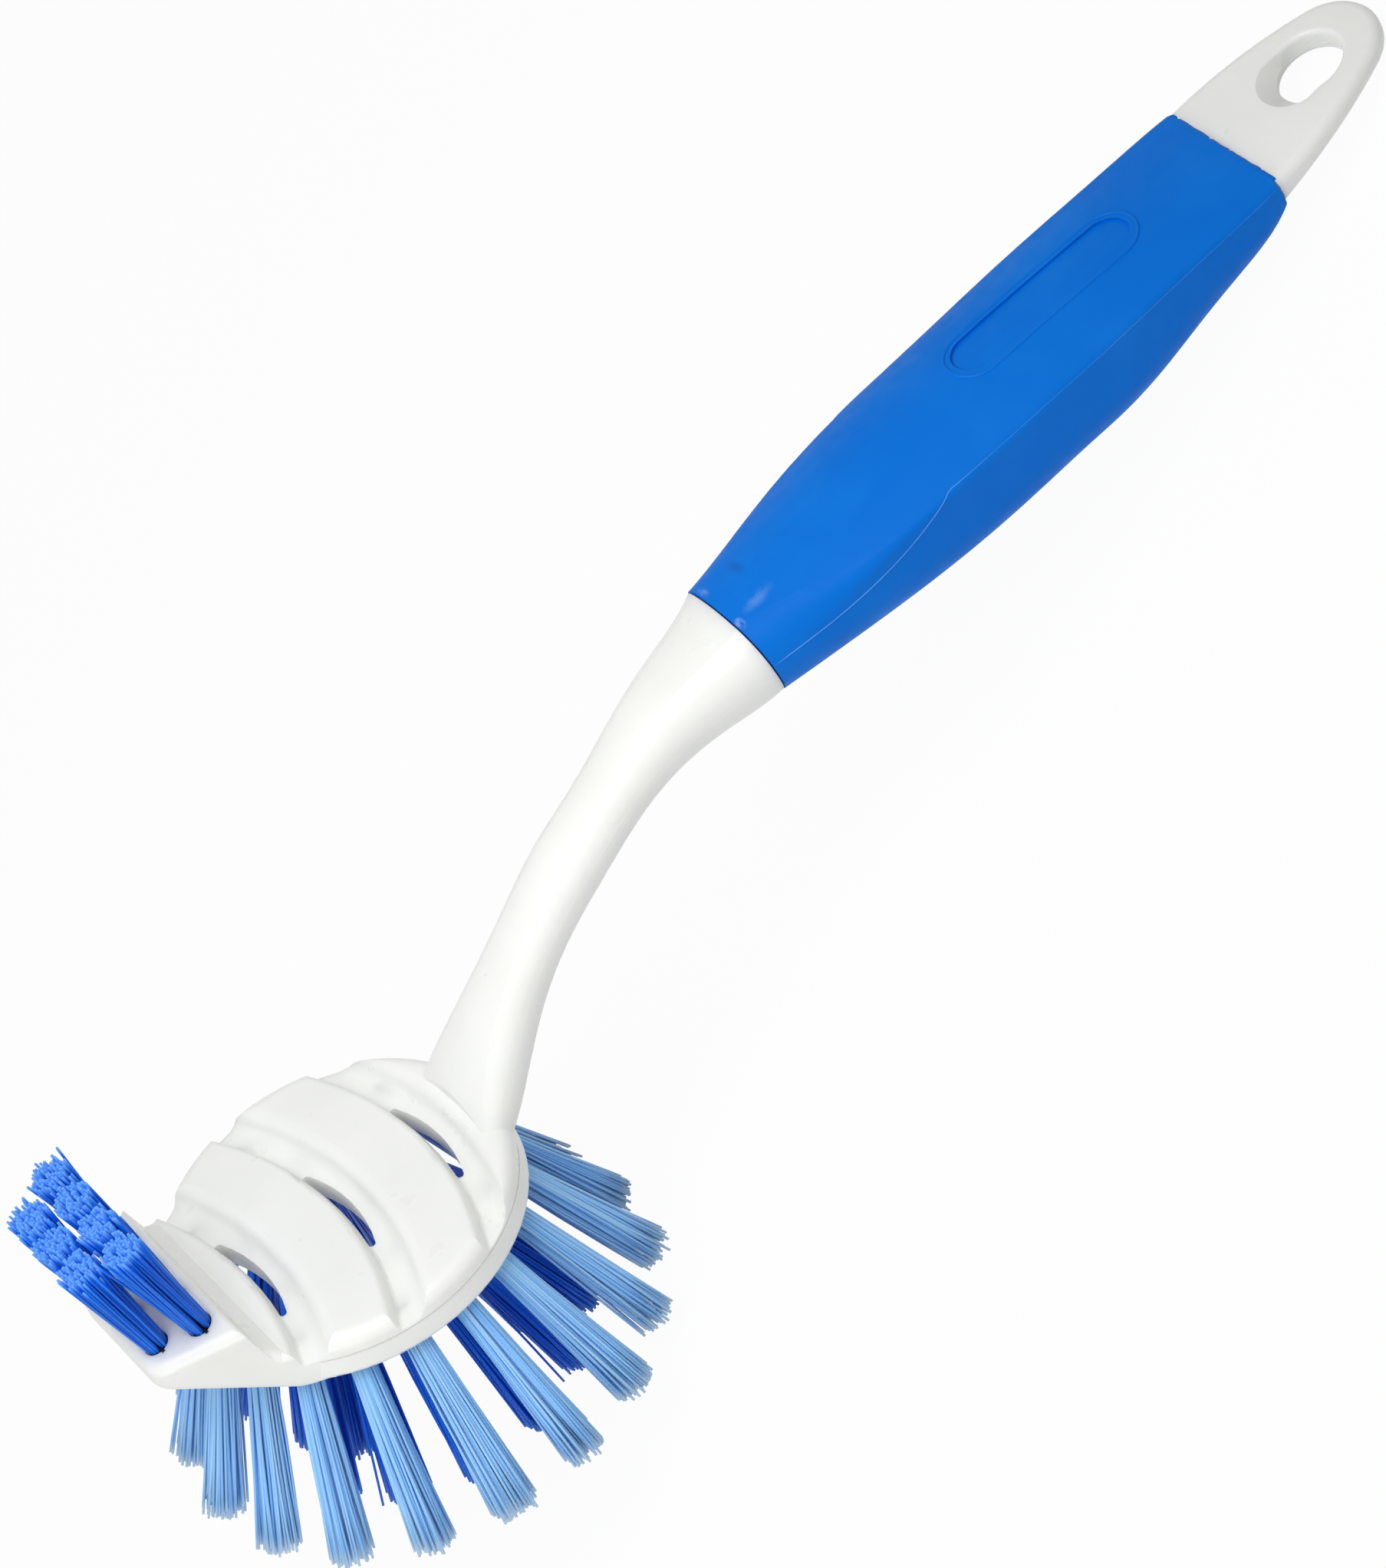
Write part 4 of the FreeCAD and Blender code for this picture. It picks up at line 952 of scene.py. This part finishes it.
    def label_border(self, handle: HandleFrame, material: bpy.types.Material) -> bpy.types.Object:
        """Makes the raised line round the label recess: a round profile on a closed long oval.

        The oval is two straight sides and two half circles. A place at distance d round it is worked out
        in pieces, cast on the grip from above, and sunk a little so that less than half the profile shows.

        Args:
            handle: the handle's axes.
            material: the rubber.

        Returns:
            The piece.
        """
        half = self.label_half + self.border_gap
        straight = self.label_length - 2 * self.label_half
        near = self.label_start + self.label_half
        far = near + straight
        bow = math.pi * half
        way = np.arange(self.border_steps) * 2 * (straight + bow) / self.border_steps
        first, second = way - straight, way - 2 * straight - bow
        stretches = [way < straight, first < bow, second < 0]
        along = np.select(
            stretches,
            [near + way, far + half * np.sin(first / half), far - (first - bow)],
            near - half * np.sin(second / half),
        )
        across = np.select(
            stretches, [-half, -half * np.cos(first / half), half], half * np.cos(second / half)
        )
        starts = handle.point(np.stack([along, across, np.full_like(along, self.from_above)], axis=1))
        skin = cast(starts, -handle.axes[2], triangles(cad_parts["grip_sleeve"]))
        path = skin - self.border_sunk * MM * handle.axes[2]
        wrapped = np.concatenate([path[-1:], path, path[:1]])
        radius = np.full(len(wrapped), self.border_half * MM)
        points, _ = bead(wrapped, handle.axes[2], radius, self.sides)
        rings = points.reshape(-1, self.sides, 3)[1:-1]
        faces = ring_faces(self.border_steps, self.sides)
        return make_piece("grip_label_border", rings.reshape(-1, 3), faces, material)

    def build(self, head: HeadFrame) -> list[bpy.types.Object]:
        """Dresses the grip and makes its flash and its label's border.

        Args:
            head: the head's frame.

        Returns:
            The dressed grip and the new pieces.
        """
        handle = self.handle_frame(head)
        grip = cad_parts["grip_sleeve"]
        rubber, flash = self.rubber.make(handle), self.flash.make(handle)
        grip.data.materials.clear()
        grip.data.materials.append(rubber)
        ridges = [self.ridge(side, handle, flash) for side in NEAR_AND_FAR]
        return [grip, *ridges, self.rear_edge(handle, rubber), self.label_border(handle, rubber)]


@dataclass(frozen=True)
class Lamp:
    """A soft square lamp: its place and target in metres, its side, its power in watts and its tint."""

    name: str
    place: tuple[float, float, float]
    target: tuple[float, float, float]
    side: float
    power: float
    tint: str = "#FFFFFF"

    def build(self) -> bpy.types.Object:
        """Makes the lamp."""
        data = bpy.data.lights.new(self.name, "AREA")
        data.size = self.side
        data.energy = self.power
        data.color = linear(self.tint)[:3]
        lamp = bpy.data.objects.new(self.name, data)
        lamp.location = self.place
        lamp.rotation_euler = (Vector(self.target) - Vector(self.place)).to_track_quat("-Z", "Y").to_euler()
        bpy.context.scene.collection.objects.link(lamp)
        return lamp


@dataclass(frozen=True)
class Studio:
    """Pale floor, soft light and the camera, which is given in the head's frame in millimetres."""

    lamps: tuple[Lamp, ...] = (
        Lamp("overhead_softbox", (0.0, -0.1, 0.42), (-0.01, 0.0, 0.04), 0.3, 1.2),
        Lamp("bristle_fill", (-0.42, -0.25, 0.1), (-0.09, 0.0, 0.04), 0.35, 0.62),
    )
    world_level: float = 0.35
    floor_half: float = 6.0
    floor_colour: str = "#E2E2E2"
    floor_glow: float = 0.955
    eye: tuple[float, float, float] = (-126.793, -705.348, 683.288)
    down: tuple[float, float, float] = (-0.597851, -0.442098, -0.668673)
    forward: tuple[float, float, float] = (0.212362, 0.717010, -0.663927)
    focal_px: float = 8260.0
    image_px: tuple[int, int] = (1807, 2044)
    sensor_mm: float = 36.0
    clip: tuple[float, float] = (0.05, 20.0)

    def floor(self) -> bpy.types.Object:
        """Makes the floor: pale, and part glowing to the camera, so it shows white with a soft shadow."""
        half = self.floor_half
        mesh = bpy.data.meshes.new("floor")
        corners = [(-half, -half, 0), (half, -half, 0), (half, half, 0), (-half, half, 0)]
        mesh.from_pydata(corners, [], [(0, 1, 2, 3)])
        material, tree = blank_material("floor_paper")
        plain = add_node(
            tree, "ShaderNodeBsdfPrincipled", {"Base Color": linear(self.floor_colour), "Roughness": 0.9}
        )
        glow = add_node(tree, "ShaderNodeEmission", {"Color": WHITE, "Strength": 1.0})
        seen = self.seen(tree)
        share = add_node(tree, "ShaderNodeMath", {0: seen, 1: self.floor_glow}, operation="MULTIPLY")
        both = add_node(
            tree, "ShaderNodeMixShader",
            {0: share.outputs[0], 1: plain.outputs["BSDF"], 2: glow.outputs["Emission"]},
        )
        add_node(tree, "ShaderNodeOutputMaterial", {"Surface": both.outputs["Shader"]})
        mesh.materials.append(material)
        floor = bpy.data.objects.new("floor", mesh)
        bpy.context.scene.collection.objects.link(floor)
        return floor

    @staticmethod
    def seen(tree: bpy.types.NodeTree) -> bpy.types.NodeSocket:
        """One where a camera, glossy or transmitted ray looks, else zero."""
        path = add_node(tree, "ShaderNodeLightPath")
        first = add_node(
            tree, "ShaderNodeMath", {0: path.outputs["Is Camera Ray"], 1: path.outputs["Is Glossy Ray"]},
            operation="MAXIMUM",
        )
        both = add_node(
            tree, "ShaderNodeMath", {0: first.outputs[0], 1: path.outputs["Is Transmission Ray"]},
            operation="MAXIMUM",
        )
        return both.outputs[0]

    def world(self) -> None:
        """Lights the scene evenly all round, and shows white behind it."""
        world = bpy.data.worlds.new("studio")
        world.use_nodes = True
        tree = world.node_tree
        tree.nodes.clear()
        level = add_node(
            tree, "ShaderNodeMapRange",
            {"Value": self.seen(tree), "To Min": self.world_level, "To Max": 1.0},
        )
        back = add_node(
            tree, "ShaderNodeBackground", {"Color": WHITE, "Strength": level.outputs["Result"]}
        )
        add_node(tree, "ShaderNodeOutputWorld", {"Surface": back.outputs["Background"]})
        bpy.context.scene.world = world

    def camera(self, head: HeadFrame) -> bpy.types.Object:
        """Sets the camera at the photograph's view.

        Args:
            head: the head's frame.

        Returns:
            The camera.
        """
        data = bpy.data.cameras.new("camera")
        data.sensor_fit = "AUTO"
        data.sensor_width = self.sensor_mm
        data.lens = self.sensor_mm * self.focal_px / max(self.image_px)
        data.clip_start, data.clip_end = self.clip
        camera = bpy.data.objects.new("camera", data)
        bpy.context.scene.collection.objects.link(camera)
        back = -Vector(head.way(self.forward)).normalized()
        right = Vector(head.way(self.down)).cross(-back).normalized()
        up = back.cross(right)
        turn = Matrix((right, up, back)).transposed()
        camera.matrix_world = Matrix.Translation(Vector(head.point(self.eye))) @ turn.to_4x4()
        bpy.context.scene.camera = camera
        return camera

    def build(self, head: HeadFrame) -> None:
        """Makes the floor, lamps, world and camera."""
        self.floor()
        for lamp in self.lamps:
            lamp.build()
        self.world()
        self.camera(head)
        bpy.context.scene.view_settings.view_transform = "Standard"


def main() -> None:
    """Builds the brush's looks in order."""
    logging.basicConfig(level=logging.INFO, format="%(name)s: %(message)s")
    head = HeadFrame.of_ring()
    for piece in BrushBody().dress(head) + SoftGrip().build(head):
        log.info("made %s", piece.name)
    nylons = {nylon: nylon.make() for nylon in (LIGHT_NYLON, DARK_NYLON, ROYAL_NYLON)}
    seed = SEED
    for kind in TuftKind:
        for node in kind.nodes():
            seed += 1
            piece = Tuft(kind, node, seed).build(head, nylons[kind.nylon])
            log.info("made %s", piece.name)
    Studio().build(head)


if __name__ == "__main__":
    main()
